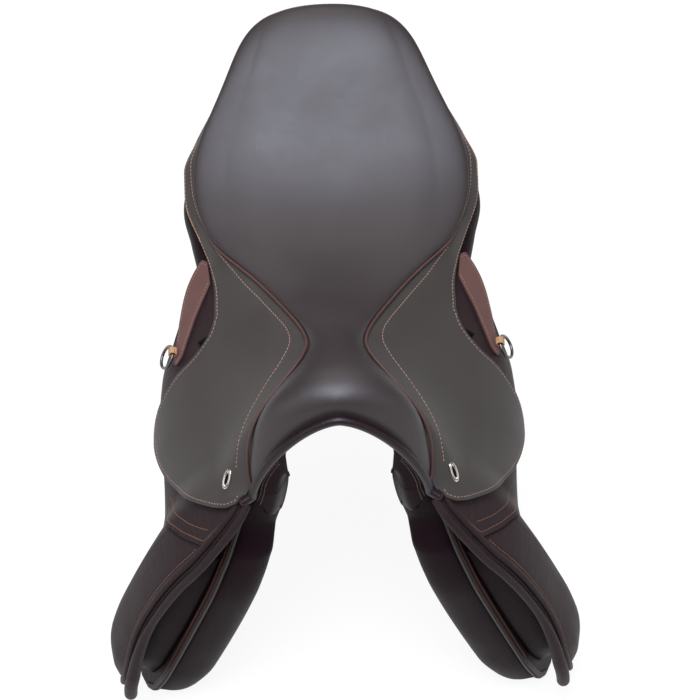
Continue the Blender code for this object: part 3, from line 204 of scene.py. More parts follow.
# Places of the ring and the eyelet as (y, s), and sizes of fittings, rolls and seams
RING_AT = (-0.040, 0.063)
RING_RADIUS = 0.011
RING_HEIGHT = 0.0049
WIRE = 0.0015
LOOP_RADIUS = 0.00395
LOOP_HALF = 0.0035
LOOP_LEATHER = 0.0012
EYELET_AT = (-0.2030, 0.0052)
EYELET_TURN = math.radians(52)
EYELET_HALF = (0.0080, 0.0032)
EYELET_HEIGHT = 0.0009
WELT_RADIUS = 0.0013
ROLL_RADIUS = 0.0040
RIDGE_RADIUS = 0.0033
FURROW_DEPTH = 0.0003
FURROW_WIDTH = 0.0010
FINE_PITCH = 0.0032
KEEPER_PITCH = 0.0034
FINE_THREAD = 0.0008
FINE_BEVEL = 0.0004
THIN_BEVEL = 0.0003

# Girth straps: middle of the three, from and to s, distance between them, half width, and holes
STRAP_MIDDLE_Y = -0.115
STRAP_TOP = 0.032
STRAP_LOW = 0.250
STRAP_PITCH = 0.028
STRAP_HALF = 0.0125
HOLE_PITCH = 0.022
HOLE_TOP = 0.12

# Stage: half the floor's width and its gap under the saddle, then the camera's pixels to the metre,
# distance, roll and target, and the width of the picture with the column that looks straight ahead
FLOOR_HALF = 6.0
FLOOR_GAP = 0.004
CAMERA_SCALE = 1020.0
CAMERA_DISTANCE = 1.7
CAMERA_ROLL = math.radians(-1.8)
CAMERA_TARGET = (0, -0.020, -0.010)
PICTURE_WIDTH = 700
PICTURE_MIDDLE = 336.5
SENSOR_WIDTH = 36


def tint(name, text, colour):
    """Colour setting."""
    return bpy.props.FloatVectorProperty(name=name, description=text, subtype="COLOR", size=3, default=colour)


class SaddleLooks(bpy.types.PropertyGroup):
    """Sizes and colours of the saddle's finish."""

    seat_colour: tint("Seat colour", "Leather of the seat", (0.043, 0.032, 0.031))
    skirt_colour: tint("Skirt colour", "Leather of the skirts", (0.070, 0.060, 0.053))
    flap_colour: tint("Flap colour", "Leather of the flaps", (0.038, 0.023, 0.024))
    panel_colour: tint("Panel colour", "Soft leather of the panels and blocks", (0.016, 0.0065, 0.0095))
    strap_colour: tint("Strap colour", "Reddish leather of the straps and welts", (0.185, 0.092, 0.078))
    thread_colour: tint("Thread colour", "Thread of the decorative seams", (0.42, 0.27, 0.21))
    edge_colour: tint("Cut edge colour", "Undyed leather at cut edges", (0.60, 0.33, 0.17))
    backdrop: tint("Backdrop colour", "Colour of the floor", (0.60, 0.60, 0.60))
    stitch_pitch: bpy.props.FloatProperty(
        name="Stitch pitch", description="Distance from one stitch to the next", unit="LENGTH",
        default=0.0040, min=0.002, max=0.010)
    stitch_width: bpy.props.FloatProperty(
        name="Thread width", description="Thickness of the thread", unit="LENGTH",
        default=0.0010, min=0.0003, max=0.002)
    elevation: bpy.props.FloatProperty(
        name="Camera elevation", description="Angle of the camera above the horizon", subtype="ANGLE",
        default=math.radians(52.0))


def looks():
    """Settings that the scene holds."""
    return bpy.context.scene.saddle_looks


# Shape of the saddle ---------------------------------------------------------------------------


def smooth(at, keys, values):
    """Cubic through (key, value) points whose slope is the harmonic mean of its neighbours' slopes."""
    at, keys, values = (np.asarray(v, float) for v in (at, keys, values))
    step = np.diff(keys)
    rise = np.diff(values) / step
    lean = np.empty_like(values)
    inner = rise[:-1] * rise[1:]
    lean[1:-1] = np.where(inner > 0, 2 * inner / (rise[:-1] + rise[1:] + 1e-30), 0)
    lean[0], lean[-1] = rise[0], rise[-1]
    i = np.clip(np.searchsorted(keys, at) - 1, 0, len(step) - 1)
    t = np.clip((at - keys[i]) / step[i], 0, 1)
    start = (2 * t**3 - 3 * t**2 + 1) * values[i] + (t**3 - 2 * t**2 + t) * step[i] * lean[i]
    end = (3 * t**2 - 2 * t**3) * values[i + 1] + (t**3 - t**2) * step[i] * lean[i + 1]
    return start + end


def along(points, at):
    """Value of an outline given as (s, y) points."""
    return smooth(at, *np.transpose(points))


def ease(t):
    """Smooth step from 0 to 1."""
    t = np.clip(t, 0, 1)
    return t * t * (3 - 2 * t)


def fall(y, s):
    """Angle of the draped surface below level, from its value at the crease to that below the bend."""
    top = smooth(y, FALL_Y, FALL_TOP)
    low = smooth(y, FALL_Y, FALL_LOW)
    return np.radians(top + (low - top) * ease(s / BEND))


def stand_off(y, s):
    """Distance of the flap from its level: over the knee block, and over the bar and the buckles."""
    swell = smooth(y, SWELL_Y, SWELL_MOST) * smooth(s, SWELL_S, SWELL_SHARE)
    return smooth(y, STAND_Y, STAND_MOST) * smooth(s, STAND_S, STAND_SHARE) + swell


def drape(y, s, d):
    """Point of the left side: the crease's point at y, then s along the falling curve and d out of it."""
    y, s, d = np.broadcast_arrays(np.asarray(y, float), np.asarray(s, float), np.asarray(d, float))
    steps = (np.arange(24) + 0.5) / 24
    angles = fall(y[..., None], s[..., None] * steps)
    share = (y - CREASE_FRONT[1]) / (CREASE_REAR[1] - CREASE_FRONT[1])
    here = fall(y, s)
    x = CREASE_FRONT[0] + (CREASE_REAR[0] - CREASE_FRONT[0]) * share
    z = CREASE_FRONT[2] + (CREASE_REAR[2] - CREASE_FRONT[2]) * share
    x = x + s * np.cos(angles).mean(-1) + d * np.sin(here)
    z = z - s * np.sin(angles).mean(-1) + d * np.cos(here)
    return np.stack([x, y, z], -1)


def flap_level(y, s):
    """The flap's level, its lower front corner turned in by up to 6 mm."""
    near = 1 - ease((y - along(FLAP_FRONT, s)) / 0.024)
    return FLAP_LEVEL + stand_off(y, s) - 0.006 * near * ease((s - 0.20) / 0.10)


def skirt_level(y, s):
    """The skirt's level: the flap's stand-off, and a lift that starts at the crease."""
    return stand_off(y, s) + SKIRT_LIFT * ease(s / 0.020)


def strap_level(y, s):
    """The girth straps' level: half the flap's stand-off, but no more than 3 mm."""
    free = np.minimum(0.5 * stand_off(y, s), 0.003)
    return STRAP_LEVEL + free * ease((s - STRAP_TOP) / 0.05)


def squared(wave, power):
    """Cosine or sine with its corners filled out, for a superellipse."""
    return np.sign(wave) * np.abs(wave) ** power


def unit(v):
    """Vectors brought to length 1."""
    return v / np.maximum(np.linalg.norm(v, axis=-1, keepdims=True), 1e-12)


def grid_normals(grid):
    """Normal at each point: the cross product of the differences along both directions."""
    return unit(np.cross(np.gradient(grid, axis=1), np.gradient(grid, axis=0)))


def settle(values, reach):
    """Moving average under a cosine window, with the ends turned over so that they stay in place."""
    window = np.hanning(2 * reach + 3)[1:-1]
    padded = np.pad(values, reach, mode="reflect", reflect_type="odd")
    return np.convolve(padded, window / window.sum(), mode="valid")


def oval(phi, full):
    """Superellipse from its crown at 0 to its side at 1: shares of the way out and of the way up."""
    return np.sin(phi * math.pi / 2) ** (2 / full), np.clip(np.cos(phi * math.pi / 2), 0, 1) ** (2 / full)


def seat_half(rows, columns):
    """Half seat: superelliptic sections from the middle to the edge, with their values eased between rows."""
    at = np.linspace(0, len(SEAT_ROWS) - 1, rows)
    reach = int(1.3 * rows / len(SEAT_ROWS))
    y_mid, z_mid, x_edge, y_edge, z_edge, full, swell = (
        settle(smooth(at, np.arange(len(SEAT_ROWS)), column), reach)[:, None] for column in SEAT_ROWS.T)
    phi = np.linspace(0, 1, columns)[None, :]
    out, up = oval(phi, full)
    hollow = DISH * np.exp(-(((y_mid - 0.06) / 0.08) ** 2)) * (1 - np.clip(out / 0.7, 0, 1) ** 2) ** 2
    x = x_edge * out + swell * np.sin(math.pi * np.clip(2 * phi - 1, 0, 1))
    y = y_mid + (y_edge - y_mid) * out**2
    z = z_edge + (z_mid - z_edge) * up - hollow
    return np.stack([x, y, z], -1)


def foot():
    """Foot of the seat's left side: points, outward normals and upward normals."""
    grid = seat_half(rows=161, columns=25)
    point = grid[:, -1]
    forward = unit(np.gradient(point, axis=0))
    out = unit(np.cross(forward, grid[:, -3] - point))
    return point, out, np.cross(out, forward)


def columns_at(at, keys, values):
    """Each column of a table of values, read off between its keys."""
    return np.stack([np.interp(at, keys, column) for column in np.transpose(values)], -1)


def side_point(y, outward, up):
    """Point beside the seat's foot, so far out of it and so far up it, for each y."""
    point, out, rise = foot()
    base, away, above = (columns_at(y, point[:, 1], values) for values in (point, out, rise))
    return base + unit(away) * np.reshape(outward, (-1, 1)) + unit(above) * np.reshape(up, (-1, 1))


def seam_lift(y):
    """Height of the seam between seat and skirt above the seat's foot: more behind the pommel."""
    return 0.0085 * ease((-0.095 - y) / 0.05) * ease((y + 0.214) / 0.030)


def seam_start(y):
    """Inner end of the skirt's middle, beside the seat's foot."""
    start = side_point(y, -0.0012, seam_lift(y) - SKIRT / 2)
    start[:, 1] = y
    return start


def edge_share(y):
    """Share of the way out to the crease at which the skirt is cut, a little short of it at the waist."""
    return 1 - 0.07 * ease(1 - np.abs(y + 0.004) / 0.032)


def skirt_point(y, s):
    """Skirt's middle: a cubic from the seat over the crease, then the drape; s is negative above it."""
    y, s = np.broadcast_arrays(np.asarray(y, float), np.asarray(s, float))
    shape = y.shape
    y, s = y.reshape(-1), s.reshape(-1)
    inner = seam_start(y)
    length = np.linalg.norm(drape(y, 0 * y, 0 * y) - inner, axis=1)
    end = drape(y, JOIN, skirt_level(y, JOIN + 0 * y))
    end_way = unit(drape(y, JOIN + 0.001, skirt_level(y, JOIN + 0.001 + 0 * y)) - end)
    keys, tail_x, tail_z = SKIRT_TAIL.T
    tail = np.stack([smooth(y, keys, tail_x), y, smooth(y, keys, tail_z)], -1)
    tail_way = unit(np.stack([0.62 + 0 * y, 0 * y, -0.78 + 0 * y], -1))
    draped = cubic(inner, end, end_way, (s + length) / (length + JOIN))
    behind = cubic(inner, tail, tail_way, (s + length) / length)
    back = ease((y - CREASE_REAR[1]) / 0.04)[:, None]
    top = draped * (1 - back) + behind * back
    top[:, 1] = y
    low = drape(y, np.maximum(s, 0.0), skirt_level(y, s))
    return np.where((s < JOIN)[:, None], top, low).reshape(*shape, 3)


def cubic(start, end, end_way, t):
    """Cubic from start to end that leaves a little above its chord and arrives along end_way."""
    chord = end - start
    length = np.linalg.norm(chord, axis=1, keepdims=True)
    square = np.stack([-chord[:, 2], 0 * chord[:, 0], chord[:, 0]], -1) / length
    start_way = unit(chord / length + 0.20 * square) * length
    t = t[:, None]
    return ((2 * t**3 - 3 * t**2 + 1) * start + (t**3 - 2 * t**2 + t) * start_way
            + (3 * t**2 - 2 * t**3) * end + (t**3 - t**2) * end_way * length)


def skirt_top_grid(rows, columns):
    """Skirt from the welt out to the crease and the tail, at shares of the way out: y and points."""
    share = np.linspace(0, 1, columns)[None]
    front = SEAT_FRONT - 0.0075 - 0.0085 * share
    y = front + (SKIRT_TAIL[-1][0] - front) * np.linspace(0, 1, rows)[:, None]
    share = share * edge_share(y)
    length = np.linalg.norm(drape(y.reshape(-1), 0, 0) - seam_start(y.reshape(-1)), axis=1)
    return y, skirt_point(y, -length.reshape(y.shape) * (1 - share))


def arch_path(count, out=0.0):
    """Left half of the pommel arch, the seat's first section set ahead of it."""
    y_mid, z_mid, x_edge, y_edge, z_edge, full, _ = SEAT_ROWS[0]
    across, up = oval(np.linspace(0, 1, count), full)
    y = y_mid + (y_edge - y_mid) * across**2 - ARCH_ROLL_RADIUS - GAP
    return np.stack([(x_edge - out) * across, y, z_edge + (z_mid - z_edge - out) * up + 0.001], -1)


def end_steps(count, share=1.0):
    """Numbers from 0 to 1: a share of cosine steps, closer at both ends, mixed with equal steps."""
    t = np.linspace(0, 1, count)
    return (1 - share) * t + share / 2 * (1 - np.cos(t * math.pi))


def between(front, rear, s, share):
    """The y at a level s that lies a share of the way from the front outline to the rear one."""
    return along(front, s) * (1 - share) + along(rear, s) * share


def outline_grid(front, rear, level, rows, columns):
    """Points on the drape between two outlines, on rows that are closer where the outlines turn."""
    s = (front[0][0] + (front[-1][0] - front[0][0]) * end_steps(rows, 0.5))[:, None]
    y = between(front, rear, s, np.linspace(0, 1, columns)[None, :])
    s = s + 0 * y
    return drape(y, s, level(y, s))


def beside(outline, s, away):
    """Line beside an outline on the drape, away from its piece where that is positive."""
    y = along(outline, s)
    lean = unit(np.stack([np.gradient(y), np.gradient(s)], -1))
    return y - away * lean[:, 1], s + away * lean[:, 0]


def resample(path, count=None, step=None):
    """Points at equal steps of length along a path."""
    path = np.asarray(path, float)
    run = np.concatenate([[0], np.cumsum(np.linalg.norm(np.diff(path, axis=0), axis=1))])
    count = count or max(int(round(run[-1] / step)), 1) + 1
    return columns_at(np.linspace(0, run[-1], count), run, path)


def spline(points, count=200):
    """Catmull-Rom curve through a few points, at equal steps of length."""
    p = np.asarray(points, float)
    p = np.concatenate([[2 * p[0] - p[1]], p, [2 * p[-1] - p[-2]]])
    t = np.linspace(0, 1, 16, endpoint=False)[:, None]
    a, b, c, d = p[:-3, None], p[1:-2, None], p[2:-1, None], p[3:, None]
    curve = 0.5 * (2 * b + (c - a) * t + (2 * a - 5 * b + 4 * c - d) * t**2
                   + (3 * b - a - 3 * c + d) * t**3)
    return resample(np.concatenate([curve.reshape(-1, 3), p[-2:-1]]), count)


# Meshes ----------------------------------------------------------------------------------------


def mirrored(points, side):
    """Points of the left side, turned over to the other one where side is -1."""
    return np.asarray(points, float) * np.array([side, 1.0, 1.0])


def new_mesh(name, points, faces, materials):
    """Object at the origin from an array of points and its faces."""
    mesh = bpy.data.meshes.new(name)
    faces = faces.tolist() if isinstance(faces, np.ndarray) else faces
    mesh.from_pydata(np.asarray(points, float).reshape(-1, 3), [], faces)
    mesh.validate()
    mesh.shade_smooth()
    for material in materials:
        mesh.materials.append(finish(material))
    piece = bpy.data.objects.new(name, mesh)
    bpy.context.scene.collection.objects.link(piece)
    return piece


def closed(name, points, faces, materials):
    """Closed body with its faces turned outwards, by the sign of its volume."""
    points, faces = points.reshape(-1, 3), [list(face) for face in faces]
    corners = np.array([(f[0], f[k], f[k + 1]) for f in faces for k in range(1, len(f) - 1)])
    a, b, c = (points[corners[:, k]] for k in range(3))
    if np.einsum("ij,ij->", a, np.cross(b, c)) < 0:
        faces = [face[::-1] for face in faces]
    return new_mesh(name, points, faces, materials)


def grid_faces(rows, columns, wrap=False):
    """Quads of a grid, closed across its columns where it wraps."""
    i, j = np.meshgrid(np.arange(rows - 1), np.arange(columns if wrap else columns - 1), indexing="ij")
    k = (j + 1) % columns
    return np.stack([i * columns + j, i * columns + k, (i + 1) * columns + k, (i + 1) * columns + j],
                    -1).reshape(-1, 4)


def sheet(name, grid, thickness, materials, outward, keep=None, bevel=0.0006, edge=0):
    """Leather sheet: the grid is its outer face, the wall goes inwards, and its edges are rounded."""
    faces = grid_faces(*grid.shape[:2])
    if keep is not None:
        faces = faces[keep.reshape(-1)]
    flat = grid.reshape(-1, 3)
    normal = np.cross(flat[faces[:, 2]] - flat[faces[:, 0]], flat[faces[:, 3]] - flat[faces[:, 1]])
    if (normal @ np.asarray(outward, float)).sum() < 0:
        faces = faces[:, ::-1]
    piece = new_mesh(name, grid, faces, materials)
    wall = piece.modifiers.new("wall", "SOLIDIFY")
    wall.thickness = thickness
    wall.offset = -1
    wall.use_even_offset = True
    wall.material_offset_rim = edge
    if bevel:
        rim = piece.modifiers.new("rounded edge", "BEVEL")
        rim.width = bevel
        rim.segments = 2
        rim.limit_method = "ANGLE"
        rim.angle_limit = math.radians(50)
    return piece


def slab(name, grid, normal, thickness, materials, rim):
    """Closed sheet of a grid and its copy set inwards along the normals, with sharp corners at the rim.

    rim holds the material index of each quad of the rim, in the order of the grid's border.
    """
    rows, columns = grid.shape[:2]
    count = rows * columns
    points = np.concatenate([grid.reshape(-1, 3), (grid - normal * thickness).reshape(-1, 3)])
    number = np.arange(count).reshape(rows, columns)
    ring = np.concatenate([number[0, :-1], number[:-1, -1], number[-1, :0:-1], number[:0:-1, 0]])
    after = np.roll(ring, -1)
    top = grid_faces(rows, columns)
    wall = np.stack([after, ring, ring + count, after + count], -1)
    piece = closed(name, points, np.concatenate([top, top[:, ::-1] + count, wall]).tolist(), materials)
    piece.data.polygons.foreach_set("material_index", np.concatenate([np.zeros(2 * len(top), int), rim]))
    border = np.zeros(2 * count, int)
    border[ring], border[ring + count] = 1, 2
    ends = np.empty(2 * len(piece.data.edges), int)
    piece.data.edges.foreach_get("vertices", ends)
    ends = border[ends.reshape(-1, 2)]
    piece.data.edges.foreach_set("use_edge_sharp", (ends[:, 0] == ends[:, 1]) & (ends[:, 0] > 0))
    return piece


def shell(name, grid, material):
    """Closed body: rings of a grid with a fan over each end."""
    rows, columns = grid.shape[:2]
    count = rows * columns
    ring = np.arange(columns)
    last = ring + count - columns
    faces = grid_faces(rows, columns, wrap=True).tolist()
    faces += np.stack([np.roll(ring, -1), ring, 0 * ring + count], -1).tolist()
    faces += np.stack([last, np.roll(last, -1), 0 * ring + count + 1], -1).tolist()
    points = np.concatenate([grid.reshape(-1, 3), [grid[0].mean(0), grid[-1].mean(0)]])
    return closed(name, points, faces, [material])


def hoop(name, line, away, out, high, sides, side, material):
    """Closed ring of wire: an ellipse, WIRE across and high along out, carried round a closed line."""
    turn = np.linspace(0, 2 * math.pi, sides, endpoint=False)[None, :, None]
    grid = line[:, None] + WIRE * np.cos(turn) * away[:, None] + high * np.sin(turn) * out
    faces = grid_faces(len(line) + 1, sides, wrap=True) % (len(line) * sides)
    return closed(name, mirrored(grid, side), faces.tolist(), [material])


def tube(name, path, normal, radius, material, sides):
    """Round section carried along a path, turned so that its top follows the given normals."""
    path, normal = np.asarray(path, float), unit(np.asarray(normal, float))
    ahead = unit(np.gradient(path, axis=0))
    across = unit(np.cross(ahead, normal))
    top = np.cross(across, ahead)
    turn = np.linspace(0, 2 * math.pi, sides, endpoint=False)[None, :, None]
    radius = np.broadcast_to(np.asarray(radius, float), len(path))[:, None, None]
    ring = across[:, None] * np.cos(turn) + top[:, None] * np.sin(turn)
    body = path[:, None] + radius * ring
    ends = 1 - np.array([1.0, 0.7, 0.3])[:, None, None]
    first = path[0] + radius[0] * (ends**0.5 * ring[0] - 0.6 * np.sqrt(1 - ends) * ahead[0])
    last = path[-1] + radius[-1] * (ends**0.5 * ring[-1] + 0.6 * np.sqrt(1 - ends) * ahead[-1])
    return shell(name, np.concatenate([first[1:], body, last[:0:-1]]), material)


def two_skins(name, y, s, low, high, side):
    """Closed cushion between two grids of the drape that meet at their rim."""
    lower, upper = drape(y, s, low), drape(y, s, high)
    rows, columns = y.shape
    inner = np.ones((rows, columns), bool)
    inner[[0, -1]] = False
    inner[:, [0, -1]] = False
    number = np.arange(rows * columns).reshape(rows, columns)
    twin = np.where(inner, rows * columns + np.cumsum(inner).reshape(rows, columns) - 1, number)
    faces = grid_faces(rows, columns)
    faces = np.concatenate([faces, twin.reshape(-1)[faces][:, ::-1]])
    points = mirrored(np.concatenate([upper.reshape(-1, 3), lower[inner]]), side)
    return closed(name, points, faces.tolist(), ["panel leather"])


def stitches(name, path, normal, material, pitch, width):
    """Row of stitches: lens-shaped threads at equal steps, each turned a little out of the row."""
    slant, lift = 0.12, 0.00012
    centre = resample(path, step=pitch)
    path = np.asarray(path, float)
    near = np.linalg.norm(path[None] - centre[:, None], axis=-1).argmin(1)
    top = unit(np.asarray(normal, float)[near])
    ahead = unit(np.gradient(centre, axis=0))
    across = unit(np.cross(ahead, top))
    top = np.cross(across, ahead)
    run = ahead * math.cos(slant) + across * math.sin(slant)
    u = np.linspace(-1, 1, 7)[:, None]
    v = np.linspace(0, 2 * math.pi, 6, endpoint=False)[None, :]
    girth = np.sqrt(np.clip(1 - u**4, 0.02, 1))
    local = np.stack([u + 0 * v, girth * np.cos(v), girth * np.sin(v)], -1) * np.array(
        [0.38 * pitch, width / 2, width / 2])
    local[..., 2] -= 0.35 * width * np.abs(u) ** 3
    basis = np.stack([run, np.cross(run, top), top], 1)
    points = centre[:, None, None] + np.einsum("abk,nkj->nabj", local, basis) + top[:, None, None] * lift
    count, rows, columns = points.shape[:3]
    start = (np.arange(count) * rows * columns)[:, None]
    faces = (grid_faces(rows, columns, wrap=True)[None] + start[..., None]).reshape(-1, 4).tolist()
    ring = np.arange(columns)[None]
    faces += (ring[:, ::-1] + start).tolist() + (ring + start + (rows - 1) * columns).tolist()
    return closed(name, points, faces, [material])


def lay(points, grid, normals):
    """Path laid on a surface: each point is dropped on the plane at its nearest surface point."""
    flat, out = grid.reshape(-1, 3), normals.reshape(-1, 3)
    points = np.asarray(points, float)
    near = np.linalg.norm(flat[None] - points[:, None], axis=-1).argmin(1)
    gap = np.einsum("ij,ij->i", points - flat[near], out[near])
    return points - out[near] * gap[:, None], out[near]


def furrow(grid, normals, paths, depth, width):
    """Surface pressed in along paths: a bell-shaped furrow by the distance to the nearest path point."""
    flat = grid.reshape(-1, 3)
    sink = np.zeros(len(flat))
    for path in paths:
        low, high = path.min(0) - 4 * width, path.max(0) + 4 * width
        close = np.flatnonzero(((flat > low) & (flat < high)).all(1))
        for part in np.array_split(close, max(1, len(close) // 4000)):
            gap = np.linalg.norm(flat[part][:, None] - path[None], axis=-1).min(1)
            sink[part] = np.maximum(sink[part], depth * np.exp(-((gap / width) ** 2)))
    return grid - normals * sink.reshape(grid.shape[:2])[..., None]


# Materials -------------------------------------------------------------------------------------


def socket(tree, name, kind, way, value=None):
    """Socket of a node group, with its default."""
    made = tree.interface.new_socket(name=name, in_out=way, socket_type=kind)
    if value is not None:
        made.default_value = value
    return made


def plug(tree, node, links):
    """Link sockets into a node's inputs, and set the inputs that are given as values."""
    for name, source in links:
        if isinstance(source, bpy.types.NodeSocket):
            tree.links.new(source, node.inputs[name])
        else:
            node.inputs[name].default_value = source
    return node


def add(tree, kind, links=(), **values):
    """Node with its settings, and links into it as (input, socket)."""
    node = tree.nodes.new(kind)
    for key, value in values.items():
        setattr(node, key, value)
    return plug(tree, node, links)


def maths(tree, operation, first, second):
    """Math node of two values."""
    return add(tree, "ShaderNodeMath", [(0, first), (1, second)], operation=operation).outputs[0]


def mapped(tree, value, *ends, **values):
    """Map Range of a value; the ends are From Min, From Max, To Min and To Max."""
    names = ("From Min", "From Max", "To Min", "To Max")
    return add(tree, "ShaderNodeMapRange", [("Value", value), *zip(names, ends)], **values).outputs["Result"]


def noise(tree, vector, **values):
    """Noise Texture on a vector, with its inputs given by name."""
    return add(tree, "ShaderNodeTexNoise", [("Vector", vector), *values.items()]).outputs


def stretched(tree, scale):
    """Object coordinates, scaled."""
    place = add(tree, "ShaderNodeTexCoord").outputs["Object"]
    return add(tree, "ShaderNodeMapping", [("Vector", place), ("Scale", scale)]).outputs[0]


def dyed(tree, colour, tone):
    """Colour scaled by a tone."""
    return add(tree, "ShaderNodeVectorMath", [(0, colour), ("Scale", tone)], operation="SCALE").outputs[0]


def bump(tree, height, distance, *under):
    """Relief, over another one where that is given."""
    return add(tree, "ShaderNodeBump", [("Height", height), ("Strength", 1.0), ("Distance", distance),
                                        *(("Normal", normal) for normal in under)]).outputs[0]


def grain_group():
    """Leather grain: small cells with soft furrows between them, over a fine noise, faded by a slow one."""
    name = "leather grain"
    group = bpy.data.node_groups.get(name)
    if group:
        return group
    group = bpy.data.node_groups.new(name, "ShaderNodeTree")
    socket(group, "Cell Scale", "NodeSocketFloat", "INPUT", 1500.0)
    socket(group, "Furrow", "NodeSocketFloat", "INPUT", 0.6)
    socket(group, "Height", "NodeSocketFloat", "OUTPUT")
    socket(group, "Mottle", "NodeSocketFloat", "OUTPUT")
    ends = add(group, "NodeGroupInput").outputs
    place = add(group, "ShaderNodeTexCoord").outputs["Object"]
    bent = noise(group, place, Scale=260.0, Detail=2.0)["Color"]
    shift = add(group, "ShaderNodeVectorMath", [(0, bent), (1, (0.0012, 0.0012, 0.0012))],
                operation="MULTIPLY")
    moved = add(group, "ShaderNodeVectorMath", [(0, place), (1, shift.outputs[0])], operation="ADD")
    cells = add(group, "ShaderNodeTexVoronoi", [("Vector", moved.outputs[0]), ("Scale", ends["Cell Scale"])],
                feature="DISTANCE_TO_EDGE")
    ridge = mapped(group, cells.outputs["Distance"], 0.0, 0.28, interpolation_type="SMOOTHSTEP")
    fine = noise(group, place, Scale=2600.0, Detail=3.0)["Fac"]
    slow = noise(group, place, Scale=14.0, Detail=4.0, Roughness=0.6)["Fac"]
    height = maths(group, "ADD", maths(group, "MULTIPLY", ridge, ends["Furrow"]),
                   maths(group, "MULTIPLY", fine, 0.35))
    add(group, "NodeGroupOutput", [("Height", height), ("Mottle", slow)])
    return group


def leather(tree, shader, colour, roughness, cells=1500.0, furrow=0.6, depth=0.00006, gleam=0.5,
            mottle=0.12, wrinkles=0.0):
    """Dyed leather: colour and gloss that vary slowly, with a fine grain, and wrinkles where it bends."""
    grain = add(tree, "ShaderNodeGroup", [("Cell Scale", cells), ("Furrow", furrow)], node_tree=grain_group())
    height, slow = grain.outputs["Height"], grain.outputs["Mottle"]
    tone = mapped(tree, slow, 0.3, 0.7, 1 - mottle, 1 + mottle)
    cracks = mapped(tree, height, 0.1, 0.6, 0.86, 1.0)
    relief = bump(tree, height, depth)
    if wrinkles:
        folds = noise(tree, stretched(tree, (60.0, 18.0, 60.0)), Scale=3.0, Detail=5.0, Roughness=0.62)
        relief = bump(tree, folds["Fac"], wrinkles, relief)
    plug(tree, shader, [("Base Color", dyed(tree, colour, maths(tree, "MULTIPLY", tone, cracks))),
                        ("Roughness", mapped(tree, slow, 0.3, 0.7, roughness - 0.05, roughness + 0.06)),
                        ("Normal", relief), ("Specular IOR Level", gleam)])


def noisy(tree, shader, colour, scale, detail, depth, tones=None, glosses=None, rest=()):
    """Thread, metal, wood and other plain stuffs: one noise varies the tone or gloss and the relief."""
    ply = noise(tree, stretched(tree, scale), Scale=1.0, Detail=detail)["Fac"]
    plug(tree, shader, [("Normal", bump(tree, ply, depth)), *rest])
    if tones:
        plug(tree, shader, [("Base Color", dyed(tree, colour, mapped(tree, ply, 0.0, 1.0, *tones)))])
    else:
        plug(tree, shader, [("Base Color", (*colour, 1))])
    if glosses:
        plug(tree, shader, [("Roughness", mapped(tree, ply, 0.0, 1.0, *glosses))])


def metal(roughness, run=1.0, depth=0.00001):
    """Settings of a metal with faint uneven polish, brushed where run is under 1."""
    return {"scale": (900.0, 900.0 * run, 900.0), "detail": 4.0, "depth": depth,
            "glosses": (0.7 * roughness, 1.3 * roughness), "rest": [("Metallic", 1.0)]}


def plain(roughness, scale, depth):
    """Settings of wood, foam or web."""
    return {"scale": scale, "detail": 5.0, "depth": depth, "tones": (0.7, 1.25),
            "rest": [("Roughness", roughness)]}


THREAD = {"scale": (900.0, 900.0, 900.0), "detail": 2.0, "depth": 0.0001, "tones": (0.7, 1.2),
          "rest": [("Roughness", 0.7), ("Specular IOR Level", 0.15)]}

# Builder, colour or name of its setting, share of it, and the builder's settings
FINISHES = {
    "seat leather": (leather, "seat_colour", 1, {"roughness": 0.42, "gleam": 0.66}),
    "skirt leather": (leather, "skirt_colour", 1, {"roughness": 0.44, "gleam": 0.34}),
    "flap leather": (leather, "flap_colour", 1, {"roughness": 0.50, "gleam": 0.12, "wrinkles": 0.0006}),
    "strap leather": (leather, "strap_colour", 1, {"roughness": 0.52, "gleam": 0.2}),
    "panel leather": (leather, "panel_colour", 1, {"roughness": 0.40, "cells": 900.0, "furrow": 0.8,
                                                   "depth": 0.0001, "gleam": 0.05}),
    "roll leather": (leather, "panel_colour", 1, {"roughness": 0.34, "gleam": 0.42}),
    "cut edge": (leather, "edge_colour", 1, {"roughness": 0.65, "mottle": 0.25}),
    "dyed edge": (leather, "skirt_colour", 0.6, {"roughness": 0.5, "gleam": 0.25}),
    "welt leather": (leather, "strap_colour", 0.62, {"roughness": 0.45, "gleam": 0.3}),
    "binding leather": (leather, "strap_colour", 0.36, {"roughness": 0.45, "gleam": 0.25}),
    "dyed strap edge": (leather, "strap_colour", 0.45, {"roughness": 0.5, "gleam": 0.25}),
    "warm thread": (noisy, (0.36, 0.17, 0.10), 1, THREAD),
    "strap thread": (noisy, "thread_colour", 0.85, THREAD),
    "seam thread": (noisy, "thread_colour", 1, THREAD),
    "nickel": (noisy, (0.75, 0.72, 0.66), 1, metal(0.20)),
    "stainless steel": (noisy, (0.52, 0.51, 0.50), 1, metal(0.30, 0.12, 0.00003)),
    "burnished metal": (noisy, (0.20, 0.19, 0.18), 1, metal(0.32)),
    "laminated wood": (noisy, (0.40, 0.25, 0.13), 1, plain(0.5, (30.0, 4.0, 160.0), 0.0002)),
    "web": (noisy, (0.55, 0.50, 0.40), 1, plain(0.9, (700.0, 700.0, 700.0), 0.0003)),
    "foam": (noisy, (0.60, 0.54, 0.42), 1, plain(0.95, (900.0, 900.0, 900.0), 0.0005)),
}


def finish(name):
    """Material by its name, built from its row above when it is first asked for."""
    material = bpy.data.materials.get(name)
    if material is None:
        build, colour, share, settings = FINISHES[name]
        colour = getattr(looks(), colour) if isinstance(colour, str) else colour
        material = bpy.data.materials.new(name)
        material.use_nodes = True
        tree = material.node_tree
        build(tree, tree.nodes["Principled BSDF"], tuple(share * c for c in colour), **settings)
    return material


# Pieces ----------------------------------------------------------------------------------------


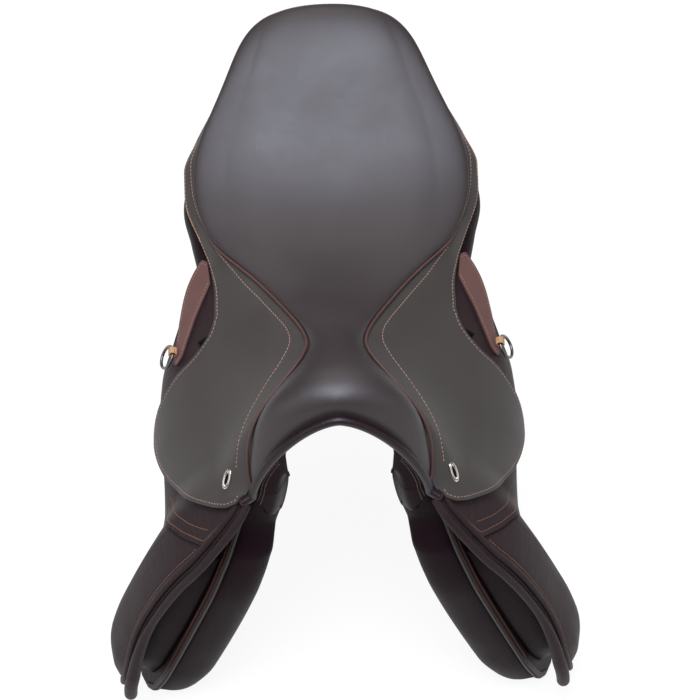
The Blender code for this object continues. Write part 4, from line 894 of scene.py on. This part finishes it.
def make_frame_finishes():
    """Finishes of the solids that stay in view."""
    stuffs = {"tree": "laminated wood", "seat_webbing": "web", "seat_foam": "foam",
              "head_plate": "stainless steel", "gullet_facing": "panel leather",
              "cantle_facing": "panel leather"}
    for label, _ in SIDES:
        stuffs[f"{label}_stirrup_bar"] = stuffs[f"{label}_bar_catch"] = "stainless steel"
    for name, stuff in stuffs.items():
        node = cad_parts[name]
        node.data.materials.clear()
        node.data.materials.append(finish(stuff))


def make_seat():
    """Seat cover: the half seat's superelliptic sections and their mirror image, as one sheet."""
    half = seat_half(rows=261, columns=71)
    grid = np.concatenate([mirrored(half[:, :0:-1], -1), half], 1)
    seat = sheet("seat", grid, SEAT_LEATHER, ["seat leather"], (0, 0, 1), bevel=0.0005)
    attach(seat, "saddle")
    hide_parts("seat_cover")


def make_welt(label, side):
    """Welt: a thin tube along the seat's foot, then round the rear section's superellipse."""
    point, _, rise = foot()
    y = point[(point[:, 1] > SEAT_FRONT - 0.0085) & (point[:, 1] < SEAT_REAR - 0.008), 1]
    bulge = smooth(y, SEAT_ROWS[:, 3], SEAT_ROWS[:, 6])
    path = side_point(y, 0.0011 + GAP + 0.05 * bulge, seam_lift(y) + 0.0020)
    up = columns_at(y, point[:, 1], rise)
    y_mid, z_mid, x_edge, y_edge, z_edge, full, _ = SEAT_ROWS[-1]
    across, high = oval(np.linspace(0.93, 0.02, 30), full)
    rear = np.stack([x_edge * across, y_mid + (y_edge - y_mid) * across**2 + 0.0022,
                     z_edge + (z_mid - z_edge) * high + 0.0005], -1)
    path = np.concatenate([path, rear])
    up = np.concatenate([up, np.tile([[0, 0, 1.0]], (len(rear), 1))])
    welt = tube(f"{label}_seat_welt", mirrored(path, side), mirrored(up, side), WELT_RADIUS,
                "welt leather", sides=10)
    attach(welt, "saddle")
    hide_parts(f"{label}_welt")


def leather_top(grid, normal_axis):
    """Outward normals of a grid of the left side, for which normal_axis points outwards."""
    normal = grid_normals(grid)
    return normal * np.sign((normal * np.asarray(normal_axis)).sum(-1).mean())


def on_top(y, share):
    """Point of the skirt above the crease."""
    length = np.linalg.norm(drape(y, 0, 0) - seam_start(y), axis=1)
    return skirt_point(y, -length * (1 - share))


def curve_2d(points, count):
    """Spline through a few points of a surface's two parameters."""
    flat = spline([(a, b, 0.0) for a, b in points], count)
    return flat[:, 0], flat[:, 1]


def make_skirt(label, side):
    """Skirt: its top, and its lobe with the eyelet."""
    make_skirt_top(label, side)
    make_lobe(label, side)
    make_eyelet(label, side, f"{label}_skirt_body")


def make_skirt_top(label, side):
    """Skirt's top: a slab from the welt to the crease, with a furrow pressed in along each stitch row."""
    rows, columns = 281, 61
    y, grid = skirt_top_grid(rows, columns)
    normal = leather_top(grid, (0, 0, 1))
    grid = grid + normal * SKIRT / 2
    seam, out = lay(on_top(*curve_2d(SKIRT_SEAM, count=420)), grid, normal)
    edge_y = np.linspace(0.185, -0.043, 320)
    inset = np.interp(edge_y, [-0.043, -0.037, 0.0], [0.0, 0.0026, 0.0028])
    rim, rim_out = lay(on_top(edge_y, edge_share(edge_y) - inset / TOP_WIDTH), grid, normal)
    grid = furrow(grid, normal, [seam, rim], FURROW_DEPTH, FURROW_WIDTH)
    # On the stretches listed above, the rim and the last two columns take the tan cut-edge colour: a painted
    # highlight along the edge.
    dyed_edge, highlight_edge = 1, 2
    highlight_span = (y[:-1, -1] > EDGE_HIGHLIGHT_SPANS[label][0]) & (y[:-1, -1] < EDGE_HIGHLIGHT_SPANS[label][1])
    edge = np.full(2 * (rows + columns - 2), dyed_edge)
    edge[columns - 1:columns + rows - 2] = np.where(highlight_span, highlight_edge, dyed_edge)
    top = slab(f"{label}_skirt_top_leather", mirrored(grid, side), mirrored(normal, side), SKIRT,
               ["skirt leather", "dyed edge", "cut edge"], edge)
    for row in np.flatnonzero(highlight_span).tolist():
        for column in (columns - 3, columns - 2):
            top.data.polygons[row * (columns - 1) + column].material_index = highlight_edge
    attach(top, "saddle")
    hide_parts(f"{label}_skirt_top")
    sew(f"{label}_skirt_top_seam", seam, out, side, "saddle")
    sew(f"{label}_skirt_top_rim", rim, rim_out, side, "saddle")


def make_lobe(label, side):
    """Skirt's lobe: a slab between two outlines on the drape, with a furrow along its stitch row."""
    rows, columns = 131, 151
    low = LOBE_FRONT[-1][0]
    s = (low * end_steps(rows, 0.6))[:, None]
    y = between(LOBE_FRONT, LOBE_REAR, s, np.linspace(0, 1, columns)[None])
    grid = skirt_point(y, s + 0 * y)
    normal = leather_top(grid, (1, 0, 0.5))
    grid = grid + normal * SKIRT / 2
    edge_s = np.linspace(0.0, low - 0.003, 260)
    front_y, front_s = beside(LOBE_FRONT, edge_s, away=-0.0032)
    rear_y, rear_s = beside(LOBE_REAR, edge_s[::-1], away=-0.0028)
    rim = np.concatenate([np.stack([front_y, front_s], -1)[front_s > 0.0016],
                          np.stack([rear_y, rear_s], -1)[rear_s > 0.0008]])
    rim, rim_out = lay(resample(skirt_point(rim[:, 0], rim[:, 1]), count=420), grid, normal)
    grid = furrow(grid, normal, [rim], FURROW_DEPTH, FURROW_WIDTH)
    lobe = slab(f"{label}_skirt_lobe", mirrored(grid, side), mirrored(normal, side), SKIRT,
                ["skirt leather", "dyed edge"], np.ones(2 * (rows + columns - 2), int))
    body = f"{label}_skirt_body"
    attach(lobe, body)
    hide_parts(f"{label}_skirt")
    sew(f"{label}_lobe_rim_seam", rim, rim_out, side, body, sink=0.00035)


def sew(name, path, out, side, body, material="seam thread", pitch=None, width=None, sink=0.0001):
    """Row of stitches pressed a little into the leather, riding on a body."""
    row = stitches(name, mirrored(path - out * sink, side), mirrored(out, side), material,
                   pitch or looks().stitch_pitch, width or looks().stitch_width)
    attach(row, body)


def point_frame(y, s, place, step):
    """Point and axes on a surface given by its point function: lengthwise, up the slope and out."""
    lengthwise = unit(place(y + step, s) - place(y - step, s))
    down = unit(place(y, s + step) - place(y, s - step))
    out = unit(np.cross(lengthwise, -down))
    out = out * np.sign(out[0])
    return place(y, s), lengthwise, np.cross(out, lengthwise), out


def make_eyelet(label, side, body):
    """Oval nickel eyelet: a rolled ring, wide on the leather, with a dark sheet inside as painted shade in
    its hole.
    """
    at, ahead, up, out = point_frame(*EYELET_AT, skirt_point, step=0.002)
    long = ahead * math.cos(EYELET_TURN) + up * math.sin(EYELET_TURN)
    axes = np.stack([long, np.cross(out, long)])
    centre = at + out * (SKIRT / 2 + 0.0003)
    turn = np.linspace(0, 2 * math.pi, 64, endpoint=False)[:, None]
    around = np.concatenate([np.cos(turn), np.sin(turn)], 1)
    reach = around * EYELET_HALF
    eyelet = hoop(f"{label}_eyelet", centre + reach @ axes, unit(around / EYELET_HALF) @ axes, out,
                  high=EYELET_HEIGHT, sides=12, side=side, material="nickel")
    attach(eyelet, body)
    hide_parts(f"{label}_skirt_eyelet")
    # Dark disc of panel leather just above the skirt inside the ring: painted shade for the eyelet's hole.
    share = np.linspace(0.02, 1, 6)[:, None, None] * (0.9, 0.8)
    grid = centre + (np.concatenate([reach, reach[:1]]) * share) @ axes - out * 0.0002
    hole = sheet(f"{label}_eyelet_slot", mirrored(grid, side), 0.0002, ["panel leather"], (side, 0, 0.5),
                 bevel=0)
    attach(hole, body)


def flap_grid():
    """Rows from the front to the rear outline of the flap: points, and the faces that are kept.

    The columns follow the sides of the part that is cut out over the stirrup bar, and spread below it.
    """
    before, inside, behind = 60, 70, 40
    s = (FLAP_TOP + FLAP_LENGTH * end_steps(231, 0.5))[:, None]
    front, rear = along(FLAP_FRONT, s), along(FLAP_REAR, s)
    hold = 1 - ease((s - BAR_LOW) / 0.05)
    cut_a = (BAR_FRONT - front) / (rear - front) * hold + 0.27 * (1 - hold)
    cut_b = (BAR_REAR - front) / (rear - front) * hold + 0.75 * (1 - hold)
    share = np.concatenate([cut_a * np.linspace(0, 1, before + 1)[None, :-1],
                            cut_a + (cut_b - cut_a) * np.linspace(0, 1, inside + 1)[None, :-1],
                            cut_b + (1 - cut_b) * np.linspace(0, 1, behind + 1)[None]], 1)
    y = front + (rear - front) * share
    s = s + 0 * y
    keep = np.ones((len(s) - 1, before + inside + behind), bool)
    keep[:, before:before + inside] = s[:-1, before:before + inside] > BAR_LOW
    return drape(y, s, flap_level(y, s) + FLAP / 2), keep


def make_flap(label, side):
    """Flap: a sheet on the drape, with a furrow along the ridge's seam and one beside the knee patch."""
    body = f"{label}_flap_body"
    grid, keep = flap_grid()
    normal = leather_top(grid, (1, 0, 0))
    seam_y, seam_s = beside(FLAP_FRONT, RIDGE_S[50:], away=-0.0112)
    seam, out = lay(drape(seam_y, seam_s, flap_level(seam_y, seam_s) + FLAP / 2), grid, normal)
    edge_y, edge_s = beside(PATCH_FRONT, np.linspace(0.050, 0.128, 200), away=0.0008)
    patch_edge = drape(edge_y, edge_s, flap_level(edge_y, edge_s) + FLAP / 2)
    grid = furrow(grid, normal, [seam], depth=0.0005, width=0.0012)
    grid = furrow(grid, normal, [patch_edge], depth=0.0014, width=0.0016)
    flap = sheet(f"{label}_flap_leather", mirrored(grid, side), FLAP, ["flap leather", "dyed edge"],
                 (side, 0, 0.3), keep=keep, edge=1)
    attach(flap, body)
    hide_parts(f"{label}_flap")
    sew(f"{label}_ridge_seam", seam, out, side, body, "warm thread", width=FINE_THREAD, sink=0.0003)
    make_edge_rolls(label, side, body, grid, normal)
    make_patch(label, side, body)


def make_edge_rolls(label, side, body, grid, normal):
    """Roll and ridge: tubes carried along the flap's front edge, the roll swelling near its lower end."""
    roll_s = np.linspace(FLAP_TOP, 0.3280, 300)
    swell = np.interp(roll_s, [0.18, 0.27, 0.315, 0.328], [0.0, 0.0028, 0.0026, 0.0004])
    roll_y, roll_s = beside(FLAP_FRONT, roll_s, ROLL_RADIUS + 0.8 * swell)
    path = drape(roll_y, roll_s, flap_level(roll_y, roll_s))
    _, out = lay(path, grid, normal)
    roll = tube(f"{label}_flap_roll", mirrored(path, side), mirrored(out, side), ROLL_RADIUS + swell,
                "flap leather", sides=20)
    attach(roll, body)
    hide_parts(f"{label}_edge_roll")
    ridge_y, ridge_s = beside(FLAP_FRONT, RIDGE_S, away=-0.0045)
    path = drape(ridge_y, ridge_s, flap_level(ridge_y, ridge_s) + FLAP / 2 + 0.0010)
    _, out = lay(path, grid, normal)
    ridge = tube(f"{label}_flap_cord", mirrored(path, side), mirrored(out, side), RIDGE_RADIUS,
                 "flap leather", sides=16)
    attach(ridge, body)
    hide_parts(f"{label}_flap_ridge")


def make_patch(label, side, body):
    """Knee patch: the grid between two outlines, laid on the flap, with two stitch rows."""
    def level(y, s):
        return flap_level(y, s) + FLAP / 2 + PATCH + 0.0003

    grid = outline_grid(PATCH_FRONT, PATCH_REAR, level, rows=121, columns=41)
    normal = leather_top(grid, (1, 0, 0))
    patch = sheet(f"{label}_knee_patch_leather", mirrored(grid, side), PATCH + 0.0012,
                  ["flap leather", "dyed edge"], (side, 0, 0.3), edge=1, bevel=FINE_BEVEL)
    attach(patch, body)
    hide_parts(f"{label}_knee_patch")
    for word, row in zip(("edge", "second"), PATCH_ROWS):
        ys, ss = curve_2d(row, count=200)
        path, out = lay(drape(ys, ss, level(ys, ss)), grid, normal)
        sew(f"{label}_patch_seam_{word}", path, out, side, body, "warm thread", FINE_PITCH, FINE_THREAD)


def make_keeper(label, side):
    """Keeper strap: the grid between two outlines, laid on the flap, with a stitch row along each."""
    body = f"{label}_flap_body"

    def level(y, s):
        return flap_level(y, s) + FLAP / 2 + 0.0007 + PATCH

    grid = outline_grid(KEEPER_FRONT, KEEPER_REAR, level, rows=81, columns=31)
    normal = leather_top(grid, (1, 0, 0))
    strap = sheet(f"{label}_keeper_leather", mirrored(grid, side), PATCH,
                  ["strap leather", "dyed strap edge"], (side, 0, 0.3), edge=1, bevel=FINE_BEVEL)
    for word, outline, inset in (("front", KEEPER_FRONT, -0.0032), ("rear", KEEPER_REAR, 0.0030)):
        ys, ss = beside(outline, np.linspace(0.008, 0.064, 120), inset)
        path, out = lay(drape(ys, ss, level(ys, ss)), grid, normal)
        sew(f"{label}_keeper_seam_{word}", path, out, side, body, "strap thread", KEEPER_PITCH,
            FINE_THREAD)
    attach(strap, body)
    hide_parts(f"{label}_keeper_strap")
    make_ring(label, side, body, lambda y, s: drape(y, s, level(y, s)))


def make_ring(label, side, body, place):
    """Ring: wire round a circle. Its loop: a leather band along a superellipse, square to the ring."""
    at, ahead, up, out = point_frame(*RING_AT, place, step=0.003)
    centre = at + out * RING_HEIGHT
    turn = np.linspace(0, 2 * math.pi, 72, endpoint=False)[:, None]
    around = np.cos(turn) * ahead + np.sin(turn) * up
    ring = hoop(f"{label}_ring_metal", centre - up * RING_RADIUS + RING_RADIUS * around, around, out,
                high=WIRE, sides=14, side=side, material="burnished metal")
    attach(ring, f"{label}_ring_body")
    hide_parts(f"{label}_ring")
    turn = np.linspace(0, 2 * math.pi, 48, endpoint=False)[:, None]
    loop = centre + LOOP_RADIUS * (squared(np.cos(turn), 0.7) * up + squared(np.sin(turn), 0.7) * out)
    grid = loop[:, None] + np.linspace(-LOOP_HALF, LOOP_HALF, 9)[None, :, None] * ahead
    points = mirrored(np.concatenate([grid, grid[:1]]), side).reshape(-1, 3)
    faces = grid_faces(rows=len(grid) + 1, columns=grid.shape[1])
    normal = np.cross(points[faces[:, 2]] - points[faces[:, 0]], points[faces[:, 3]] - points[faces[:, 1]])
    if np.einsum("ij,ij->", normal, points[faces[:, 0]] - mirrored(centre, side)) < 0:
        faces = faces[:, ::-1]
    band = new_mesh(f"{label}_ring_band", points, faces, ["cut edge"])
    wall = band.modifiers.new("wall", "SOLIDIFY")
    wall.thickness = LOOP_LEATHER
    wall.offset = -1
    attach(band, body)
    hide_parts(f"{label}_ring_loop")


def make_girth_straps(label, side):
    """Girth straps: straight strips of the drape whose ends narrow by a smooth step."""
    for place, word in ((-1, "front"), (0, "middle"), (1, "rear")):
        centre = STRAP_MIDDLE_Y + place * STRAP_PITCH
        s = np.linspace(STRAP_TOP, STRAP_LOW, 219)[:, None]
        half = STRAP_HALF - 0.0055 * ease((s - STRAP_LOW + 0.012) / 0.012)
        y = centre + half * np.linspace(-1, 1, 26)[None]
        s = s + 0 * y
        grid = drape(y, s, strap_level(y, s) + GIRTH_STRAP / 2)
        hole = np.abs((s - HOLE_TOP) / HOLE_PITCH % 1 - 0.5) < 0.09
        hole = hole & (np.abs(y - centre) < 0.0022) & (s > HOLE_TOP)
        keep = ~(hole[:-1, :-1] & hole[1:, 1:])
        strap = sheet(f"{label}_girth_leather_{word}", mirrored(grid, side), GIRTH_STRAP,
                      ["strap leather", "cut edge"], (side, 0, 0.3), keep=keep, edge=1, bevel=FINE_BEVEL)
        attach(strap, f"{label}_girth_body")
        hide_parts(f"{label}_girth_strap_{word}")


def crown_block(name, side, front, rear):
    """Pad on the drape: a flat base, and a top crowned by a superellipse both ways."""
    t, share = end_steps(61)[:, None], end_steps(41)[None]
    s = front[0][0] + (front[-1][0] - front[0][0]) * t
    y = between(front, rear, s, share)
    s = s + 0 * y
    low = SWEAT_LEVEL + SWEAT_FLAP / 2 + 0.0007 + 0 * y
    crown = np.sqrt((1 - np.abs(2 * share - 1) ** 4) * (1 - np.abs(2 * t - 1) ** 5))
    high = low + (flap_level(y, s) - FLAP / 2 - 0.0028 - low) * crown
    pad = two_skins(name, y, s, low, high, side)
    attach(pad, "saddle")
    return pad


def make_under_flap(label, side):
    """Sweat flap under its pads: the grid between two outlines, with a bound front edge."""
    pad = crown_block(f"{label}_knee_pad", side, KNEE_FRONT, KNEE_REAR)
    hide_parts(f"{label}_knee_block")
    pad = crown_block(f"{label}_thigh_pad", side, THIGH_FRONT, THIGH_REAR)
    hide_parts(f"{label}_thigh_block")
    top = SWEAT_LEVEL + SWEAT_FLAP / 2
    grid = outline_grid(SWEAT_FRONT, SWEAT_REAR, lambda y, s: top + 0 * y, rows=161, columns=101)
    sweat = sheet(f"{label}_sweat_leather", mirrored(grid, side), SWEAT_FLAP, ["flap leather", "dyed edge"],
                  (side, 0, 0.3), edge=1)
    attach(sweat, "saddle")
    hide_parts(f"{label}_sweat_flap")
    s = np.linspace(0.012, 0.346, 220)[:, None]
    y = along(SWEAT_FRONT, s) + np.linspace(0.0006, 0.0066, 7)[None]
    grid = drape(y, s + 0 * y, top + 0.0013)
    strip = sheet(f"{label}_sweat_strip", mirrored(grid, side), BINDING, ["binding leather"], (side, 0, 0.3),
                  bevel=THIN_BEVEL)
    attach(strip, "saddle")
    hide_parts(f"{label}_sweat_binding")
    normal = leather_top(grid, (1, 0, 0.3))
    sew(f"{label}_sweat_seam", grid[:, 5], normal[:, 5], side, "saddle", "strap thread", FINE_PITCH,
        FINE_THREAD)


def make_panel(label, side):
    """Panel: superelliptic rings from front to rear, each tilted about y."""
    at = np.linspace(0, len(PANEL_ROWS) - 1, 141)
    y, x_mid, z_mid, half, depth, tilt = (
        smooth(at, np.arange(len(PANEL_ROWS)), column)[:, None] for column in PANEL_ROWS.T)
    turn = np.linspace(0, 2 * math.pi, 72, endpoint=False)[None]
    across, up = squared(np.cos(turn), 2 / PANEL_SQUARENESS), squared(np.sin(turn), 2 / PANEL_SQUARENESS)
    angle = np.radians(tilt)
    x = x_mid + half * across * np.cos(angle) + depth * up * np.sin(angle)
    z = z_mid - half * across * np.sin(angle) + depth * up * np.cos(angle)
    panel = shell(f"{label}_panel_cushion", mirrored(np.stack([x, y + 0 * x, z], -1), side), "panel leather")
    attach(panel, "saddle")
    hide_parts(f"{label}_panel")
    make_forepart(label, side)


def make_forepart(label, side):
    """Forepart: a cushion on the drape, with a half-round roll in front and a thin lining behind it."""
    down, roll = end_steps(121)[:, None], end_steps(49)
    rest = np.linspace(0, 1, 21)[1:]
    top = np.concatenate([ROLL_TOP + 0 * roll, ROLL_TOP + (LINING_TOP - ROLL_TOP) * ease(rest / 0.4)])
    s = top + (FOREPART_LOW - top) * down
    front, rear = along(ROLL_FRONT, s), along(FOREPART_REAR, s)
    y = front + along(ROLL_WIDTH, s) * np.concatenate([roll, np.ones(len(rest))])
    y = y + (rear - y) * np.concatenate([0 * roll, rest])
    bump_share = np.concatenate([np.sqrt(np.clip(1 - (2 * roll - 1) ** 2, 0, 1)), 0 * rest])
    end = np.sqrt(1 - np.clip(1 - down / 0.02, 0, 1) ** 2) * np.sqrt(1 - np.clip(down / 0.1 - 9, 0, 1) ** 2)
    near = SWEAT_LEVEL - SWEAT_FLAP / 2 - 0.0019 + 0 * y
    rim = np.ones_like(y)
    rim[:, [0, -1]] = 0
    thick = along(ROLL_DEPTH, s) - LINING_DEPTH
    deep = (LINING_DEPTH * (0.5 + 0.5 * end) + thick * bump_share * end) * rim
    fore = two_skins(f"{label}_forepart_cushion", y, s, near - deep, near, side)
    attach(fore, "saddle")
    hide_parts(f"{label}_panel_forepart")


def make_arch_roll():
    """Arch piping: a tube along the pommel's superellipse and round to the flaps."""
    left = np.concatenate([arch_path(120), [drape(-0.2262, -0.0015, 0.0)]])
    path = resample(np.concatenate([mirrored(left[:0:-1], -1), left]), 360) + mm(0, -0.8, -1)
    roll = tube("arch_piping", path, np.tile([[0, -0.6, 0.8]], (len(path), 1)), ARCH_ROLL_RADIUS + 0.0006,
                "roll leather", sides=20)
    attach(roll, "saddle")
    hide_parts("arch_roll")


def make_facing(label, side):
    """Leather over the panel's front: crowned, and rolled back at its inner edge and its end."""
    outer = arch_path(121, out=ARCH_ROLL_RADIUS + 0.0012)[60:]
    outer = np.concatenate([outer, mm((78, 0, 30), (79, 0, 8))])
    inner = spline(mm((45.5, 0, 66), (46.5, 0, 40), (52, 0, 6), (61, 0, -24)))
    share = np.linspace(0, 1, 31)[None, :, None]
    grid = resample(outer, 90)[:, None] * (1 - share) + resample(inner, 90)[:, None] * share
    down, share = np.linspace(0, 1, 90)[:, None], share[..., 0]
    crown = 0.0045 * np.sin(math.pi * share) ** 0.8 * ease(down / 0.25)
    back = 0.012 * ease((share - 0.5) / 0.5) ** 1.5 + 0.010 * ease((down - 0.75) / 0.25)
    grid[..., 1] = SEAT_FRONT - 0.0118 - crown + back * ease(down / 0.15)
    facing = sheet(f"{label}_facing_leather", mirrored(grid, side), FACING, ["panel leather"], (0, -1, 0),
                   bevel=THIN_BEVEL)
    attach(facing, "saddle")
    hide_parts(f"{label}_front_facing")
    normal = leather_top(grid, (0, -1, 0))
    for column in (3, 6):
        sew(f"{label}_facing_seam_{column}", grid[4:84, column], normal[4:84, column], side, "saddle",
            "strap thread", FINE_PITCH, 0.0007)


def any_ray(tree, path):
    """One where a ray comes from the camera, a reflection or a clear body."""
    seen = maths(tree, "MAXIMUM", path.outputs["Is Camera Ray"], path.outputs["Is Glossy Ray"])
    return maths(tree, "MAXIMUM", seen, path.outputs["Is Transmission Ray"])


def make_stage():
    """Floor that camera rays see bright, with the camera and the lights."""
    low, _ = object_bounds()
    z = low.z - FLOOR_GAP
    mesh = bpy.data.meshes.new("floor")
    corners = [(x * FLOOR_HALF, y * FLOOR_HALF, z) for x, y in ((-1, -1), (1, -1), (1, 1), (-1, 1))]
    mesh.from_pydata(corners, [], [(0, 1, 2, 3)])
    floor = bpy.data.objects.new("floor", mesh)
    bpy.context.scene.collection.objects.link(floor)
    material = bpy.data.materials.new("pale floor")
    material.use_nodes = True
    tree = material.node_tree
    tree.nodes.clear()
    seen = any_ray(tree, add(tree, "ShaderNodeLightPath"))
    matt = add(tree, "ShaderNodeBsdfDiffuse", [("Color", (*looks().backdrop, 1))]).outputs[0]
    shaded = add(tree, "ShaderNodeBsdfDiffuse", [("Color", (0.18, 0.18, 0.18, 1))]).outputs[0]
    glow = add(tree, "ShaderNodeEmission", [("Color", (1, 1, 1, 1)), ("Strength", 0.90)]).outputs[0]
    both = add(tree, "ShaderNodeAddShader", [(0, shaded), (1, glow)]).outputs[0]
    pick = add(tree, "ShaderNodeMixShader", [(0, seen), (1, matt), (2, both)]).outputs[0]
    add(tree, "ShaderNodeOutputMaterial", [("Surface", pick)])
    mesh.materials.append(material)
    floor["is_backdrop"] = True
    make_camera()
    make_lights()
    bpy.context.scene.view_settings.view_transform = "Standard"


def make_camera():
    """Camera above the pommel, looking down along the seat."""
    elevation, roll = looks().elevation, CAMERA_ROLL
    back = Vector((0, -math.cos(elevation), math.sin(elevation)))
    right = Vector((1, 0, 0))
    up = back.cross(right)
    across = math.cos(roll) * right + math.sin(roll) * up
    above = -math.sin(roll) * right + math.cos(roll) * up
    camera = bpy.data.objects.new("camera", bpy.data.cameras.new("camera"))
    turn = Matrix((across, above, back)).transposed().to_4x4()
    turn.translation = Vector(CAMERA_TARGET) + back * CAMERA_DISTANCE
    camera.matrix_world = turn
    camera.data.sensor_width = SENSOR_WIDTH
    camera.data.lens = CAMERA_SCALE * CAMERA_DISTANCE / PICTURE_WIDTH * SENSOR_WIDTH
    camera.data.shift_x = (PICTURE_WIDTH / 2 - PICTURE_MIDDLE) / PICTURE_WIDTH
    bpy.context.scene.collection.objects.link(camera)
    bpy.context.scene.camera = camera


def area_light(name, place, target, size, power, colour):
    """Rectangular lamp at a place, aimed at a target."""
    lamp = bpy.data.lights.new(name, "AREA")
    lamp.color = colour
    lamp.shape = "RECTANGLE"
    lamp.size, lamp.size_y = size
    lamp.energy = power
    light = bpy.data.objects.new(name, lamp)
    light.location = place
    light.rotation_euler = (Vector(target) - Vector(place)).to_track_quat("-Z", "Y").to_euler()
    bpy.context.scene.collection.objects.link(light)


def make_lights():
    """Weak white room light and six lamps."""
    world = bpy.data.worlds.new("soft room")
    world.use_nodes = True
    tree = world.node_tree
    tree.nodes["Background"].inputs["Color"].default_value = (1, 1, 1, 1)
    tree.nodes["Background"].inputs["Strength"].default_value = 0.18
    bpy.context.scene.world = world
    area_light("overhead", (-0.08, -0.08, 1.6), (0, 0, 0), (0.6, 0.6), 4.5, (0.80, 0.85, 1.0))
    area_light("front", (-0.08, -0.52, 1.55), (0, 0, 0), (0.7, 0.7), 14, (0.80, 0.85, 1.0))
    area_light("ceiling", (-0.08, -0.70, 2.3), (0, -0.1, 0), (1.4, 1.8), 20, (0.84, 0.88, 1.0))
    area_light("rear", (-0.05, 1.35, 1.9), (0, 0, 0), (1.2, 0.9), 7, (1.0, 0.96, 0.92))
    area_light("left window", (-1.5, -1.0, 0.9), (0, -0.1, 0), (0.9, 0.9), 4.5, (1.0, 0.95, 0.93))
    area_light("right window", (1.5, -1.0, 0.9), (0, -0.1, 0), (0.9, 0.9), 2.5, (1.0, 0.95, 0.93))


# Operators -------------------------------------------------------------------------------------


def on_both_sides(make):
    """Make the pieces of the left and then of the right."""
    for label, side in SIDES:
        make(label, side)
    return {"FINISHED"}


class FrameFinishes(bpy.types.Operator):
    """Finish the tree, webbing, head plate, facings and stirrup bars"""

    bl_idname = "saddle.frame_finishes"
    bl_label = "Frame finishes"

    def execute(self, context):
        make_frame_finishes()
        return {"FINISHED"}


class Seat(bpy.types.Operator):
    """Cover the padded seat"""

    bl_idname = "saddle.seat"
    bl_label = "Seat"

    def execute(self, context):
        make_seat()
        return {"FINISHED"}


class Welts(bpy.types.Operator):
    """Pipe the seam between the seat and the skirts"""

    bl_idname = "saddle.welts"
    bl_label = "Welts"

    def execute(self, context):
        return on_both_sides(make_welt)


class Skirts(bpy.types.Operator):
    """Cut and sew the skirts, with their eyelets"""

    bl_idname = "saddle.skirts"
    bl_label = "Skirts"

    def execute(self, context):
        return on_both_sides(make_skirt)


class Flaps(bpy.types.Operator):
    """Cut the flaps, with their rolled edges and knee patches"""

    bl_idname = "saddle.flaps"
    bl_label = "Flaps"

    def execute(self, context):
        return on_both_sides(make_flap)


class Keepers(bpy.types.Operator):
    """Sew the keeper straps and hang their rings"""

    bl_idname = "saddle.keepers"
    bl_label = "Keeper straps and rings"

    def execute(self, context):
        return on_both_sides(make_keeper)


class GirthStraps(bpy.types.Operator):
    """Hang the girth straps, with their holes"""

    bl_idname = "saddle.girth_straps"
    bl_label = "Girth straps"

    def execute(self, context):
        return on_both_sides(make_girth_straps)


class UnderFlaps(bpy.types.Operator):
    """Make the sweat flaps with the knee and thigh pads"""

    bl_idname = "saddle.under_flaps"
    bl_label = "Sweat flaps and pads"

    def execute(self, context):
        return on_both_sides(make_under_flap)


class Panels(bpy.types.Operator):
    """Stuff the panels and their foreparts"""

    bl_idname = "saddle.panels"
    bl_label = "Panels"

    def execute(self, context):
        return on_both_sides(make_panel)


class Arch(bpy.types.Operator):
    """Pipe the pommel arch"""

    bl_idname = "saddle.arch"
    bl_label = "Arch piping"

    def execute(self, context):
        make_arch_roll()
        return {"FINISHED"}


class Facings(bpy.types.Operator):
    """Face the panels' fronts"""

    bl_idname = "saddle.facings"
    bl_label = "Facings"

    def execute(self, context):
        return on_both_sides(make_facing)


class Stage(bpy.types.Operator):
    """Set the floor, the camera and the lights"""

    bl_idname = "saddle.stage"
    bl_label = "Stage"

    def execute(self, context):
        make_stage()
        return {"FINISHED"}


STEPS = (FrameFinishes, Seat, Welts, Skirts, Flaps, Keepers, GirthStraps, UnderFlaps, Panels, Arch, Facings,
         Stage)


class SaddlePanel(bpy.types.Panel):
    """Steps and settings of the saddle"""

    bl_idname = "VIEW3D_PT_saddle"
    bl_label = "Jumping saddle"
    bl_space_type = "VIEW_3D"
    bl_region_type = "UI"
    bl_category = "Saddle"

    def draw(self, context):
        settings = context.scene.saddle_looks
        for name in SaddleLooks.__annotations__:
            self.layout.prop(settings, name)
        for step in STEPS:
            self.layout.operator(step.bl_idname)


def register():
    for item in (SaddleLooks, *STEPS, SaddlePanel):
        bpy.utils.register_class(item)
    bpy.types.Scene.saddle_looks = bpy.props.PointerProperty(type=SaddleLooks)


def unregister():
    del bpy.types.Scene.saddle_looks
    for item in (SaddlePanel, *reversed(STEPS), SaddleLooks):
        bpy.utils.unregister_class(item)


def main():
    """Register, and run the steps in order."""
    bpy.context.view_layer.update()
    register()
    bpy.ops.saddle.frame_finishes()
    bpy.ops.saddle.seat()
    bpy.ops.saddle.welts()
    bpy.ops.saddle.skirts()
    bpy.ops.saddle.flaps()
    bpy.ops.saddle.keepers()
    bpy.ops.saddle.girth_straps()
    bpy.ops.saddle.under_flaps()
    bpy.ops.saddle.panels()
    bpy.ops.saddle.arch()
    bpy.ops.saddle.facings()
    bpy.ops.saddle.stage()


if __name__ == "__main__":
    main()
